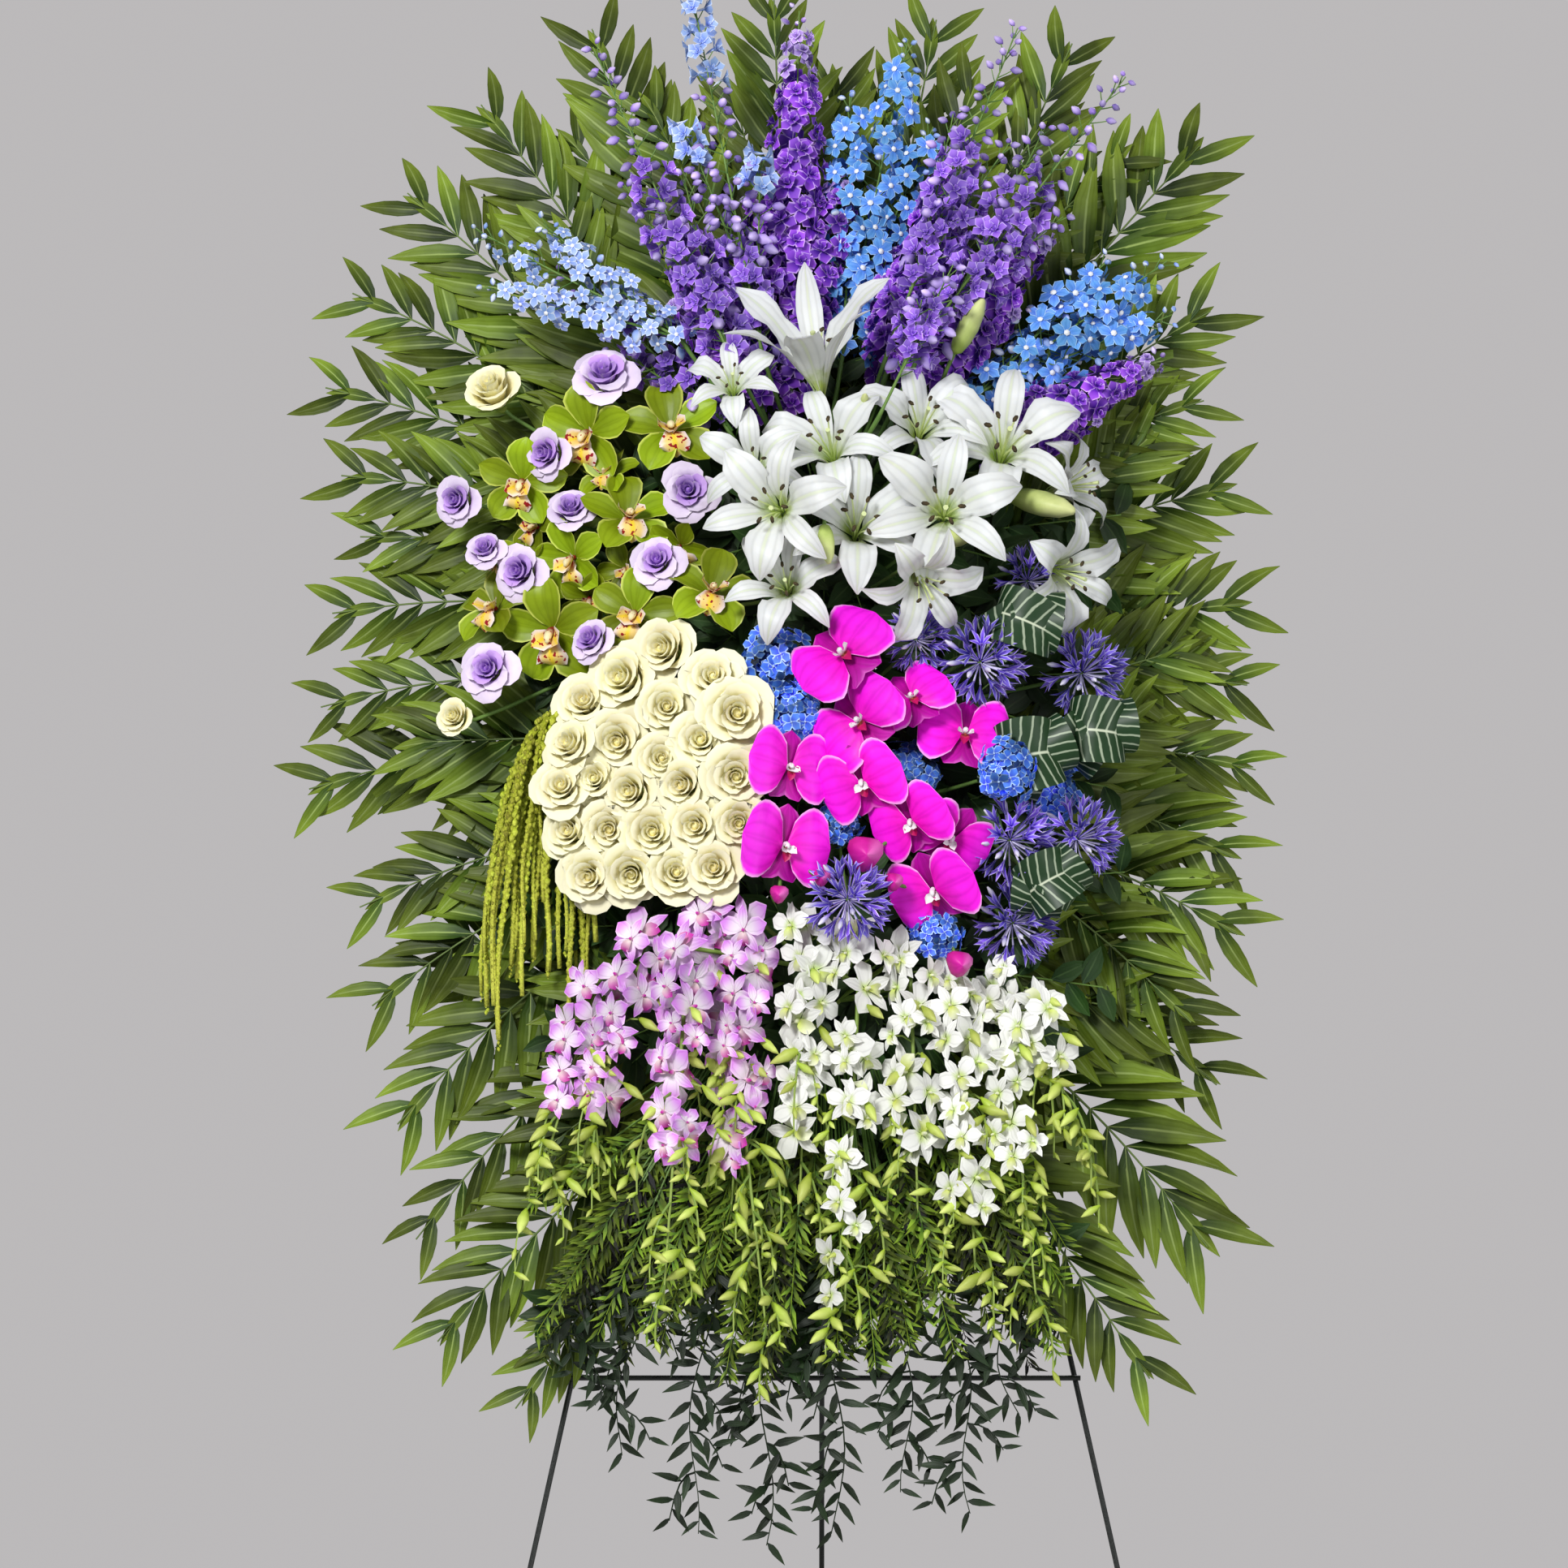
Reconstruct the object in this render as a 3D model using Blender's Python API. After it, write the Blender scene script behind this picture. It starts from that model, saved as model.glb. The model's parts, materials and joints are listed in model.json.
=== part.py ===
"""Standing funeral spray on a folding wire easel.

Metres, +Z up. The viewer stands at -Y and looks along +Y, with +X to the right.
The flowers and the easel's front are laid out on a flat plane: x across, z up the
easel, and depth out of it towards the viewer, which is -y. The empty lean_plane tips
that plane back, and the empty stand puts the origin under the middle of the whole.
Places are given as columns and rows of the reference picture, PIXEL metres each.
"""
import math
import random

import bmesh
import bpy
from mathutils import Matrix, Vector
from mathutils.bvhtree import BVHTree

# Driving sizes
PIXEL = 0.0009
AXIS_COLUMN = 1015
FLOOR_ROW = 2080
LEAN = math.radians(12)

WIRE_RADIUS = 0.003
WIRE_SIDES = 8
APEX_ROW = 296
FOOT_SPREAD = 0.355
HINGE_ROW = 400
UPPER_BAR_ROW = 600
LOWER_BAR_ROW = 1700
BACK_LEG_ANGLE = math.radians(14)
EYE_RADIUS = 0.0060
EYE_WIRE = 0.0024
GAP = 0.0003

BRICK_WIDTH = 0.110
BRICK_DEPTH = 0.080
BRICK_HEIGHT = 0.230
BRICK_ROWS = {"upper": 672, "middle": 948, "lower": 1224}
CAGE_WALL = 0.003
CAGE_RIM = 0.018
HOLE_DEPTH = 0.022
HOLE_RADIUS = 0.0055
HOLE_SIDES = 4

STEM_RADIUS = 0.0026
HUB_RADIUS = 0.008
HUB_REACH = 0.030
CLEAR = 0.0012
FROND_LAYERS = (0.040, 0.054, 0.068, 0.082)
LEAFLET_PAIRS = 6
FROND_OFFSET = 0.0068
SPIKE_SIDES = 6
DOME_EDGE = 0.140
DOME_RISE = 0.120
DOME_COLUMN = 1015
DOME_ROW = 880

# Derived places
BAR_DEPTH = 2 * WIRE_RADIUS + GAP
CAGE_BACK = BAR_DEPTH + WIRE_RADIUS + GAP
BRICK_BACK = CAGE_BACK + CAGE_WALL + GAP
BRICK_FRONT = BRICK_BACK + BRICK_DEPTH
LEAN_MATRIX = Matrix.Rotation(-LEAN, 4, "X")
DOWN = (LEAN_MATRIX.inverted() @ Vector((0, 0, -1))).normalized()
FORWARD = Vector((0, -1, 0))

rng = random.Random(7)
placed = []
stem_holes = []


def at(column, row, depth):
    """Point of the leaning plane's own space that the viewer sees at that column and row."""
    height = (FLOOR_ROW - row) * PIXEL
    z = (height - depth * math.sin(LEAN)) / math.cos(LEAN)
    return Vector(((column - AXIS_COLUMN) * PIXEL, -depth, z))


def dome(column, row):
    """Depth of the flowers' domed front over the easel's plane."""
    across = (column - DOME_COLUMN) / 300
    up = (row - DOME_ROW) / 480
    return DOME_EDGE + DOME_RISE * math.exp(-across * across - up * up)


def outward(column, row):
    """Direction that a bloom faces: to the viewer, and a little away from the middle."""
    across = (column - DOME_COLUMN) * PIXEL * 1.3
    up = (DOME_ROW - row) * PIXEL * 0.7
    return Vector((across, -1, up)).normalized()


def frame_of(facing, roll=0.0):
    """Rotation that carries +Z to the facing direction, and +Y to the upper side."""
    z = facing.normalized()
    up = Vector((0, 0, 1)) if abs(z.z) < 0.97 else Vector((0, 1, 0))
    x = up.cross(z).normalized()
    y = z.cross(x)
    turned = Matrix((x, y, z)).transposed()
    return turned @ Matrix.Rotation(roll, 3, "Z")


def curve_point(points, t):
    """Point of a Bezier curve with any number of control points."""
    points = [Vector(p) for p in points]
    while len(points) > 1:
        points = [a.lerp(b, t) for a, b in zip(points, points[1:])]
    return points[0]


def path_point(path, t):
    """Point at that share of a path of straight stretches."""
    place = min(t * (len(path) - 1), len(path) - 1.001)
    n = int(place)
    return path[n].lerp(path[n + 1], place - n)


# Shapes as (points, faces), each one closed body

def box(low, high):
    """Corner-to-corner box."""
    verts = [Vector((x, y, z)) for z in (low.z, high.z) for y in (low.y, high.y) for x in (low.x, high.x)]
    faces = [(0, 2, 3, 1), (4, 5, 7, 6), (0, 1, 5, 4), (2, 6, 7, 3), (0, 4, 6, 2), (1, 3, 7, 5)]
    return verts, faces


def swept(points, radii, sides=3, relief=0.0, pointed=(False, False), draw=None):
    """Stem along the points. Relief makes its wide rings stand in and out by turns, and
    each end is a flat cap or a point."""
    points = [Vector(p) for p in points]
    verts = []
    faces = []
    side = None
    last = len(points) - 1
    rows = []
    for i, point in enumerate(points):
        ahead = (points[min(i + 1, last)] - points[max(i - 1, 0)]).normalized()
        if side is None:
            side = ahead.orthogonal().normalized()
        side = (side - ahead * side.dot(ahead)).normalized()
        other = ahead.cross(side)
        if (i == 0 and pointed[0]) or (i == last and pointed[1]):
            rows.append([len(verts)])
            verts.append(point)
            continue
        rows.append(list(range(len(verts), len(verts) + sides)))
        for k in range(sides):
            a = 2 * math.pi * k / sides
            wave = 0.0
            if radii[i] > 0.008:
                wave = relief if (i + k) % 2 else -relief
                wave += draw.uniform(-0.12, 0.12) if draw else 0.0
            verts.append(point + radii[i] * (1 + wave) * (math.cos(a) * side + math.sin(a) * other))
    for low, high in zip(rows, rows[1:]):
        for k in range(sides):
            k2 = (k + 1) % sides
            if len(low) == 1:
                faces.append((low[0], high[k2], high[k]))
            elif len(high) == 1:
                faces.append((low[k], low[k2], high[0]))
            else:
                faces.append((low[k], low[k2], high[k2], high[k]))
    if not pointed[0]:
        faces.append(tuple(reversed(rows[0])))
    if not pointed[1]:
        faces.append(tuple(rows[-1]))
    return verts, faces


def spindle(base, tip, radius, sides=4, belly=0.45):
    """Bud, thin stem or small leaf: pointed at both ends and widest at the belly."""
    base = Vector(base)
    tip = Vector(tip)
    return swept([base, base.lerp(tip, belly), tip], [0, radius, 0], sides, 0.0, (True, True))


def star(outline, front, back):
    """Bloom seen from the front: an outline of (angle, radius, height), fanned to a front
    point, given as (x, y, height), and to a point behind."""
    verts = [Vector(front), Vector((0, 0, back))]
    for angle, radius, height in outline:
        verts.append(Vector((radius * math.cos(angle), radius * math.sin(angle), height)))
    faces = []
    count = len(outline)
    for k in range(count):
        k2 = (k + 1) % count
        faces.append((0, 2 + k, 2 + k2))
        faces.append((1, 2 + k2, 2 + k))
    return verts, faces


def rings(profile, sides, wave=0.0):
    """Turned head: rings of (radius, height, twist in steps) with a point at each end,
    whose radius goes in and out by a share from side to side."""
    verts = [Vector((0, 0, profile[0][1]))]
    for n, (radius, height, twist) in enumerate(profile[1:-1]):
        for k in range(sides):
            a = 2 * math.pi * (k + twist) / sides
            r = radius * (1 + wave * (1 if (k + n) % 2 else -1))
            verts.append(Vector((r * math.cos(a), r * math.sin(a), height)))
    verts.append(Vector((0, 0, profile[-1][1])))
    faces = []
    count = len(profile) - 2
    for k in range(sides):
        k2 = (k + 1) % sides
        faces.append((0, 1 + k2, 1 + k))
        for n in range(count - 1):
            low = 1 + n * sides
            high = low + sides
            faces.append((low + k, low + k2, high + k2))
            faces.append((low + k, high + k2, high + k))
        low = 1 + (count - 1) * sides
        faces.append((low + k, low + k2, len(verts) - 1))
    return verts, faces


def feather(path, bare, half, leaflet):
    """Rib of square section with a pointed leaflet on each side of every stretch after the
    bare ones. The leaflet function gives length and turn from the share along the rib."""
    verts = []
    faces = []
    rows = []
    last = len(path) - 1
    for n, here in enumerate(path):
        ahead = (path[min(n + 1, last)] - path[max(n - 1, 0)]).normalized()
        side = Vector((-ahead.z, 0, ahead.x)).normalized()
        thick = half * (1 - 0.55 * n / last)
        first = len(verts)
        if n == last:
            verts.append(here)
            a = rows[-1]
            faces += [(a[k], a[(k + 1) % 4], first) for k in range(4)]
            break
        verts += [
            here + side * thick + FORWARD * thick, here - side * thick + FORWARD * thick,
            here - side * thick - FORWARD * thick, here + side * thick - FORWARD * thick,
        ]
        rows.append((first, first + 1, first + 2, first + 3))
        if n == 0:
            faces.append((first + 3, first + 2, first + 1, first))
            continue
        a, b = rows[-2], rows[-1]
        faces += [(a[0], a[1], b[1], b[0]), (a[3], b[3], b[2], a[2])]
        if n <= bare:
            faces += [(a[0], b[0], b[3], a[3]), (a[1], a[2], b[2], b[1])]
            continue
        length, turn = leaflet((n - bare) / (last - bare))
        droop = FORWARD * (0.003 if n % 2 else -0.001)
        for sign in (1, -1):
            way = ahead * math.cos(turn) + side * sign * math.sin(turn)
            end = len(verts)
            verts.append(here + way * length + droop)
            f, g = (0, 3) if sign == 1 else (1, 2)
            faces += [(a[f], end, b[f]), (a[g], b[g], end), (a[f], a[g], end), (b[f], end, b[g])]
    return verts, faces


def moved(shape, centre, facing, size=1.0, roll=0.0):
    """The shape scaled, turned to the facing direction and set at the centre."""
    turn = frame_of(facing, roll)
    verts, faces = shape
    return [centre + turn @ (v * size) for v in verts], faces


# Bloom forms of radius 1, facing +Z

def petal(angle, half, length, shoulder, tip_height, shoulder_height, blunt=0.0):
    """Outline points of one petal between its two notches."""
    points = [(angle - half, shoulder, shoulder_height)]
    if blunt:
        points.append((angle - half * blunt, length, tip_height))
        points.append((angle + half * blunt, length, tip_height))
    else:
        points.append((angle, length, tip_height))
    points.append((angle + half, shoulder, shoulder_height))
    return points


def lily_form():
    outline = []
    for k in range(6):
        angle = math.pi / 2 + k * math.pi / 3
        wide = 0.40 if k % 2 else 0.33
        outline += petal(angle, wide, 1.0, 0.60, 0.16, 0.30)
        outline.append((angle + math.pi / 6, 0.26, 0.12))
    return star(outline, (0, 0, -0.12), -0.50)


def cymbidium_form():
    outline = []
    for k in range(5):
        angle = math.pi / 2 + k * 2 * math.pi / 5
        outline += petal(angle, 0.36, 1.0, 0.62, 0.12, 0.10)
        outline.append((angle + math.pi / 5, 0.22, 0.0))
    return star(outline, (0, -0.12, 0.26), -0.22)


def phalaenopsis_form():
    outline = []
    outline += petal(0.10, 0.62, 1.0, 0.80, 0.02, 0.10, 0.55)
    outline.append((0.98, 0.24, 0.0))
    outline += petal(math.pi / 2, 0.34, 0.88, 0.62, 0.0, 0.0)
    outline.append((math.pi - 0.98, 0.24, 0.0))
    outline += petal(math.pi - 0.10, 0.62, 1.0, 0.80, 0.02, 0.10, 0.55)
    outline.append((math.pi + 0.82, 0.24, 0.0))
    outline += [(math.pi + 0.98, 0.70, 0.0), (math.pi + 1.26, 0.74, 0.0)]
    outline.append((math.pi * 1.5, 0.22, 0.0))
    outline += [(-1.26, 0.74, 0.0), (-0.98, 0.70, 0.0)]
    outline.append((-0.82, 0.24, 0.0))
    return star(outline, (0, -0.10, 0.20), -0.22)


def dendrobium_form():
    outline = []
    for k in range(5):
        angle = math.pi / 2 + k * 2 * math.pi / 5
        outline.append((angle, 1.0, 0.10))
        outline.append((angle + math.pi / 5, 0.42, 0.0))
    return star(outline, (0, 0, 0.14), -0.36)


def rose_form():
    return rings([(0, -0.7, 0), (0.98, 0.28, 0), (0.64, 0.18, 0.5), (0.52, 0.56, 0), (0, 0.34, 0)], 5, 0.0)


def hydrangea_form():
    return rings(
        [
            (0, -0.50, 0),
            (0.94, -0.12, 0),
            (1.0, 0.24, 0.5),
            (0.58, 0.60, 0),
            (0, 0.62, 0),
        ],
        8,
        0.11,
    )


def agapanthus_form():
    return rings(
        [
            (0, -0.55, 0),
            (0.78, -0.16, 0),
            (0.84, 0.34, 0.5),
            (0.44, 0.72, 0),
            (0, 0.60, 0),
        ],
        8,
        0.32,
    )


# Building objects

def new_object(name, shape, collection):
    """Object of one shape, with its faces turned outwards."""
    verts, faces = shape
    mesh = bpy.data.meshes.new(name)
    mesh.from_pydata([tuple(v) for v in verts], [], faces)
    built = bmesh.new()
    built.from_mesh(mesh)
    bmesh.ops.triangulate(built, faces=built.faces)
    bmesh.ops.recalc_face_normals(built, faces=built.faces)
    if built.calc_volume(signed=True) < 0:
        bmesh.ops.reverse_faces(built, faces=built.faces)
    built.to_mesh(mesh)
    built.free()
    obj = bpy.data.objects.new(name, mesh)
    collection.objects.link(obj)
    return obj


def baked(obj):
    """Puts the result of the object's modifiers into its mesh."""
    graph = bpy.context.evaluated_depsgraph_get()
    obj.data = bpy.data.meshes.new_from_object(obj.evaluated_get(graph))
    obj.modifiers.clear()


def combined(base, operation, shapes):
    """Adds or cuts all the shapes at once, by one Boolean on a collection of them."""
    group = bpy.data.collections.new(base.name + "_tools")
    bpy.context.scene.collection.children.link(group)
    for n, shape in enumerate(shapes):
        new_object(f"{base.name}_tool_{n}", shape, group)
    boolean = base.modifiers.new("shapes", "BOOLEAN")
    boolean.operation = operation
    boolean.operand_type = "COLLECTION"
    boolean.collection = group
    boolean.solver = "MANIFOLD"
    baked(base)
    for tool in list(group.objects):
        bpy.data.objects.remove(tool)
    bpy.data.collections.remove(group)


def fused(name, shapes, material):
    """One body of all the shapes."""
    base = new_object(name, shapes[0], parts_collection)
    if len(shapes) > 1:
        combined(base, "UNION", shapes[1:])
    return finished(base, material)


def finished(obj, material):
    obj.data.materials.clear()
    obj.data.materials.append(material)
    obj.parent = lean_plane
    return obj


def painted(name, colour, roughness=0.5, metallic=0.0):
    material = bpy.data.materials.new(name)
    material.use_nodes = True
    shader = material.node_tree.nodes["Principled BSDF"]
    shader.inputs["Base Color"].default_value = (*colour, 1)
    shader.inputs["Roughness"].default_value = roughness
    shader.inputs["Metallic"].default_value = metallic
    return material


# Keeping nodes clear of each other

def bounds_of(verts, margin):
    low = [min(v[i] for v in verts) - margin for i in range(3)]
    high = [max(v[i] for v in verts) + margin for i in range(3)]
    return low, high


def tree_of(shape):
    verts, faces = shape
    return BVHTree.FromPolygons([tuple(v) for v in verts], faces, epsilon=CLEAR)


def free(shape, node, own_heads=True):
    """Whether the shape clears all that is placed: the other nodes, and its own node's heads."""
    tree = tree_of(shape)
    low, high = bounds_of(shape[0], CLEAR)
    for other, is_head, other_tree, (other_low, other_high) in placed:
        if other == node and not (own_heads and is_head):
            continue
        if any(high[i] < other_low[i] or low[i] > other_high[i] for i in range(3)):
            continue
        if tree.overlap(other_tree):
            return False
    return True


def keep(shape, node, is_head=False):
    """Notes the shape as placed, and hands it back."""
    placed.append((node, is_head, tree_of(shape), bounds_of(shape[0], 0.0)))
    return shape


def settled(make, node, step=0.004, tries=30):
    """The shape from make(push, scale), pushed to the viewer until it is clear."""
    for scale in (1.0, 0.92, 0.84, 0.76):
        for n in range(tries):
            shape = make(n * step, scale)
            if free(shape, node):
                return keep(shape, node, True), n * step
    print("not clear:", node)
    return keep(shape, node, True), n * step


def front_root(column, row):
    """Root in the front of the foam: the mouth of its hole, and the stem's end inside."""
    mouth = at(column, row, BRICK_FRONT)
    stem_holes.append((mouth, -FORWARD))
    return mouth, mouth - FORWARD * (HOLE_DEPTH - GAP)


def hub_of(root, node):
    """Short trunk out of the foam, and the knuckle on it that the stems spring from."""
    mouth, end = root
    hub = mouth + FORWARD * HUB_REACH
    trunk = swept([end, hub], [STEM_RADIUS * 1.2] * 2, 5)
    knuckle = spindle(hub - FORWARD * HUB_RADIUS, hub + FORWARD * HUB_RADIUS, HUB_RADIUS, 4, 0.5)
    return hub, [keep(trunk, node), keep(knuckle, node)]


def routed(node, start, end, radius=STEM_RADIUS):
    """Thin stem between two points, bent in the middle where it would touch a node."""
    swing = random.Random(f"{node} {end.x:.3f} {end.z:.3f}")
    for n in range(90):
        bend = Vector((swing.uniform(-1, 1), swing.uniform(-1, 1), swing.uniform(-1, 1))) * 0.0011 * n
        middle = start.lerp(end, 0.55) + bend
        shape = swept([start, middle, end], [0, radius, 0], 3, 0.0, (True, True))
        if free(shape, node, n < 45):
            return keep(shape, node)
    print("stem not clear:", node, [round(c, 3) for c in end])
    return keep(shape, node)


# The scene

for leftover in list(bpy.data.objects):
    bpy.data.objects.remove(leftover)

parts_collection = bpy.data.collections.new("standing_spray")
bpy.context.scene.collection.children.link(parts_collection)

stand = bpy.data.objects.new("stand", None)
parts_collection.objects.link(stand)
lean_plane = bpy.data.objects.new("lean_plane", None)
lean_plane.rotation_euler.x = -LEAN
lean_plane.parent = stand
parts_collection.objects.link(lean_plane)

WIRE = painted("green_wire", (0.012, 0.03, 0.016), 0.45, 0.3)
PLASTIC = painted("cage_plastic", (0.02, 0.09, 0.04), 0.5)
FOAM = painted("floral_foam", (0.03, 0.16, 0.07), 0.95)
PALM = painted("palm_green", (0.07, 0.18, 0.03), 0.45)
LEAF = painted("trailing_green", (0.07, 0.16, 0.03), 0.5)
STRIPED = painted("striped_leaf", (0.03, 0.08, 0.04), 0.4)
VIOLET = painted("stock_violet", (0.18, 0.05, 0.52), 0.6)
LAVENDER = painted("larkspur_lavender", (0.36, 0.25, 0.70), 0.6)
SKY = painted("sky_blue", (0.12, 0.32, 0.80), 0.6)
WHITE = painted("lily_white", (0.88, 0.89, 0.84), 0.5)
CREAM = painted("cream_rose", (0.90, 0.85, 0.62), 0.55)
LILAC = painted("lilac_rose", (0.56, 0.38, 0.74), 0.6)
LIME = painted("cymbidium_lime", (0.42, 0.52, 0.05), 0.45)
MAGENTA = painted("phalaenopsis_magenta", (0.75, 0.01, 0.45), 0.45)
BLUE = painted("hydrangea_blue", (0.08, 0.18, 0.75), 0.65)
INDIGO = painted("agapanthus_indigo", (0.14, 0.09, 0.58), 0.55)
AMARANTH = painted("amaranthus_green", (0.38, 0.40, 0.05), 0.8)
PINK = painted("dendrobium_pink", (0.75, 0.42, 0.78), 0.5)
PEARL = painted("dendrobium_white", (0.88, 0.90, 0.80), 0.5)


# Easel

def cut_flat(obj, point, cleared_side):
    """Removes what lies on that side of the plane, and closes the cut."""
    built = bmesh.new()
    built.from_mesh(obj.data)
    geometry = built.verts[:] + built.edges[:] + built.faces[:]
    bmesh.ops.bisect_plane(built, geom=geometry, plane_co=point, plane_no=cleared_side, clear_outer=True)
    bmesh.ops.holes_fill(built, edges=[e for e in built.edges if e.is_boundary])
    bmesh.ops.triangulate(built, faces=built.faces)
    bmesh.ops.recalc_face_normals(built, faces=built.faces)
    built.to_mesh(obj.data)
    built.free()


def easel():
    """Two front legs that meet at the top, their bars, and the back leg."""
    apex = at(AXIS_COLUMN, APEX_ROW, 0)
    for name, side in (("easel_leg_left", -1), ("easel_leg_right", 1)):
        foot = Vector((side * FOOT_SPREAD, 0, 0))
        along = (foot - apex).normalized()
        shape = swept([apex - along * 0.004, foot + along * 0.02], [WIRE_RADIUS] * 2, WIRE_SIDES)
        leg = new_object(name, shape, parts_collection)
        cut_flat(leg, Vector((0, 0, 0)), DOWN)
        cut_flat(leg, Vector((side * GAP / 2, 0, 0)), Vector((-side, 0, 0)))
        keep(shape, name)
        finished(leg, WIRE)
    slope = FOOT_SPREAD / apex.z
    bars = (
        ("easel_bar_upper", UPPER_BAR_ROW, BAR_DEPTH),
        ("easel_bar_lower", LOWER_BAR_ROW, BAR_DEPTH),
        ("easel_hinge_bar", HINGE_ROW, -BAR_DEPTH),
    )
    for name, row, depth in bars:
        middle = at(AXIS_COLUMN, row, depth)
        half = Vector(((apex.z - middle.z) * slope + 0.006, 0, 0))
        shape = swept([middle - half, middle + half], [WIRE_RADIUS] * 2, WIRE_SIDES)
        keep(shape, name)
        finished(new_object(name, shape, parts_collection), WIRE)
    back_leg()


def back_leg():
    """Rear wire with an eye round the hinge bar, on which it swings in against the frame."""
    hinge = at(AXIS_COLUMN, HINGE_ROW, -BAR_DEPTH)
    turn = LEAN_MATRIX.to_3x3().inverted()
    along = turn @ Vector((0, math.sin(BACK_LEG_ANGLE), -math.cos(BACK_LEG_ANGLE)))
    drop = (LEAN_MATRIX @ hinge).z / math.cos(BACK_LEG_ANGLE)
    bpy.ops.mesh.primitive_torus_add(
        major_radius=EYE_RADIUS,
        minor_radius=EYE_WIRE,
        major_segments=10,
        minor_segments=5,
        location=hinge,
        rotation=(0, math.pi / 2, 0),
    )
    eye = bpy.context.object
    eye.data.transform(eye.matrix_world)
    ring = [v.co.copy() for v in eye.data.vertices], [tuple(p.vertices) for p in eye.data.polygons]
    bpy.data.objects.remove(eye)
    start = hinge + along * (EYE_RADIUS + 0.0002)
    wire = swept([start, hinge + along * (drop + 0.02)], [WIRE_RADIUS] * 2, WIRE_SIDES)
    leg = fused("easel_back_leg", [wire, ring], WIRE)
    cut_flat(leg, Vector((0, 0, 0)), DOWN)
    keep(wire, "easel_back_leg")


# Foam and its cage

def brick_box(row):
    """Corners of the foam brick whose middle is at that row."""
    middle = at(AXIS_COLUMN, row, BRICK_FRONT)
    low = Vector((-BRICK_WIDTH / 2, -BRICK_FRONT, middle.z - BRICK_HEIGHT / 2))
    high = Vector((BRICK_WIDTH / 2, -BRICK_BACK, middle.z + BRICK_HEIGHT / 2))
    return low, high


def foam_cage():
    """Tray behind the bricks, hung on the upper bar by two hooks."""
    top = brick_box(BRICK_ROWS["upper"])[1].z + GAP
    bottom = brick_box(BRICK_ROWS["lower"])[0].z - GAP
    half = BRICK_WIDTH / 2 + GAP
    back = -CAGE_BACK
    inner = back - CAGE_WALL / 2
    front = back - CAGE_WALL - CAGE_RIM
    wall = CAGE_WALL
    spans = [((-half - wall, back - wall, bottom - wall), (half + wall, back, top + wall))]
    for x in (-half - wall, half):
        spans.append(((x, front, bottom - wall), (x + wall, inner, top + wall)))
    for z in (bottom - wall, top):
        spans.append(((-half - wall / 2, front, z), (half + wall / 2, inner, z + wall)))
    bar = at(AXIS_COLUMN, UPPER_BAR_ROW, BAR_DEPTH)
    over = bar.z + WIRE_RADIUS + GAP
    behind = bar.y + WIRE_RADIUS + GAP
    for x in (-0.030, 0.020):
        spans.append(((x, inner, over), (x + 0.010, behind + 0.002, over + 0.003)))
        spans.append(((x, behind, over - 0.010), (x + 0.010, behind + 0.002, over + 0.002)))
    shapes = [box(Vector(low), Vector(high)) for low, high in spans]
    fused("foam_cage", shapes, PLASTIC)
    for shape in shapes:
        keep(shape, "foam_cage")


def foam_bricks():
    """The three bricks, with a plain hole for each stem that stands in them."""
    for name, row in BRICK_ROWS.items():
        low, high = brick_box(row)
        brick = new_object("foam_brick_" + name, box(low, high), parts_collection)
        cutters = []
        for mouth, into in stem_holes:
            if low.z - 0.002 < mouth.z < high.z + 0.002:
                ends = [mouth - into * 0.01, mouth + into * HOLE_DEPTH]
                cutters.append(swept(ends, [HOLE_RADIUS] * 2, HOLE_SIDES))
        combined(brick, "DIFFERENCE", cutters)
        finished(brick, FOAM)


# Palm fronds, each root given by its row on a side of the foam, or by x on its top
# Each row: node name, then (root, tip column, tip row, sag, reach) of its fronds

FRONDS = (
    ("palm_left_11", ((1322, 668, 1690, 0.00, 0.10), (None, 575, 1610, 0.05, 0.12))),
    ("palm_left_10", ((1180, 545, 1480, 0.05, 0.11),)),
    ("palm_left_09", ((1060, 525, 1340, 0.05, 0.13),)),
    ("palm_left_08", ((1010, 500, 1200, 0.05, 0.12), (None, 490, 1090, 0.04, 0.11))),
    ("palm_left_07", ((950, 425, 945, 0.05, 0.13),)),
    ("palm_left_06", ((870, 440, 845, 0.05, 0.11),)),
    ("palm_left_05", ((775, 455, 735, 0.03, 0.12), (None, 490, 650, 0.04, 0.11))),
    ("palm_left_04", ((725, 465, 575, 0.03, 0.12),)),
    ("palm_left_03", ((675, 440, 468, 0.02, 0.12), (None, 470, 360, 0.03, 0.12))),
    ("palm_left_02", ((610, 530, 245, -0.01, 0.13),)),
    ("palm_left_01", ((570, 615, 140, -0.01, 0.13), (None, 742, 50, -0.01, 0.13))),
    ("palm_top_01", ((-0.038, 955, 10, 0.0, 0.13),)),
    ("palm_top_02", ((0.038, 1150, 35, 0.0, 0.13),)),
    ("palm_right_01", ((565, 1310, 65, -0.01, 0.13),)),
    ("palm_right_02", ((610, 1455, 190, 0.0, 0.15),)),
    ("palm_right_03", ((675, 1455, 395, 0.02, 0.13), (None, 1440, 500, 0.02, 0.11))),
    ("palm_right_04", ((775, 1475, 600, 0.03, 0.13),)),
    ("palm_right_05", ((860, 1490, 740, 0.03, 0.13), (None, 1490, 830, 0.03, 0.12))),
    ("palm_right_06", ((930, 1500, 930, 0.03, 0.11), (None, 1475, 1030, 0.03, 0.13))),
    ("palm_right_07", ((1010, 1480, 1120, 0.04, 0.13), (None, 1430, 1220, 0.05, 0.12))),
    ("palm_right_08", ((1130, 1460, 1300, 0.05, 0.12),)),
    ("palm_right_09", ((1200, 1455, 1490, 0.07, 0.15),)),
    ("palm_right_10", ((1310, 1385, 1650, 0.04, 0.12),)),
)


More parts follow.
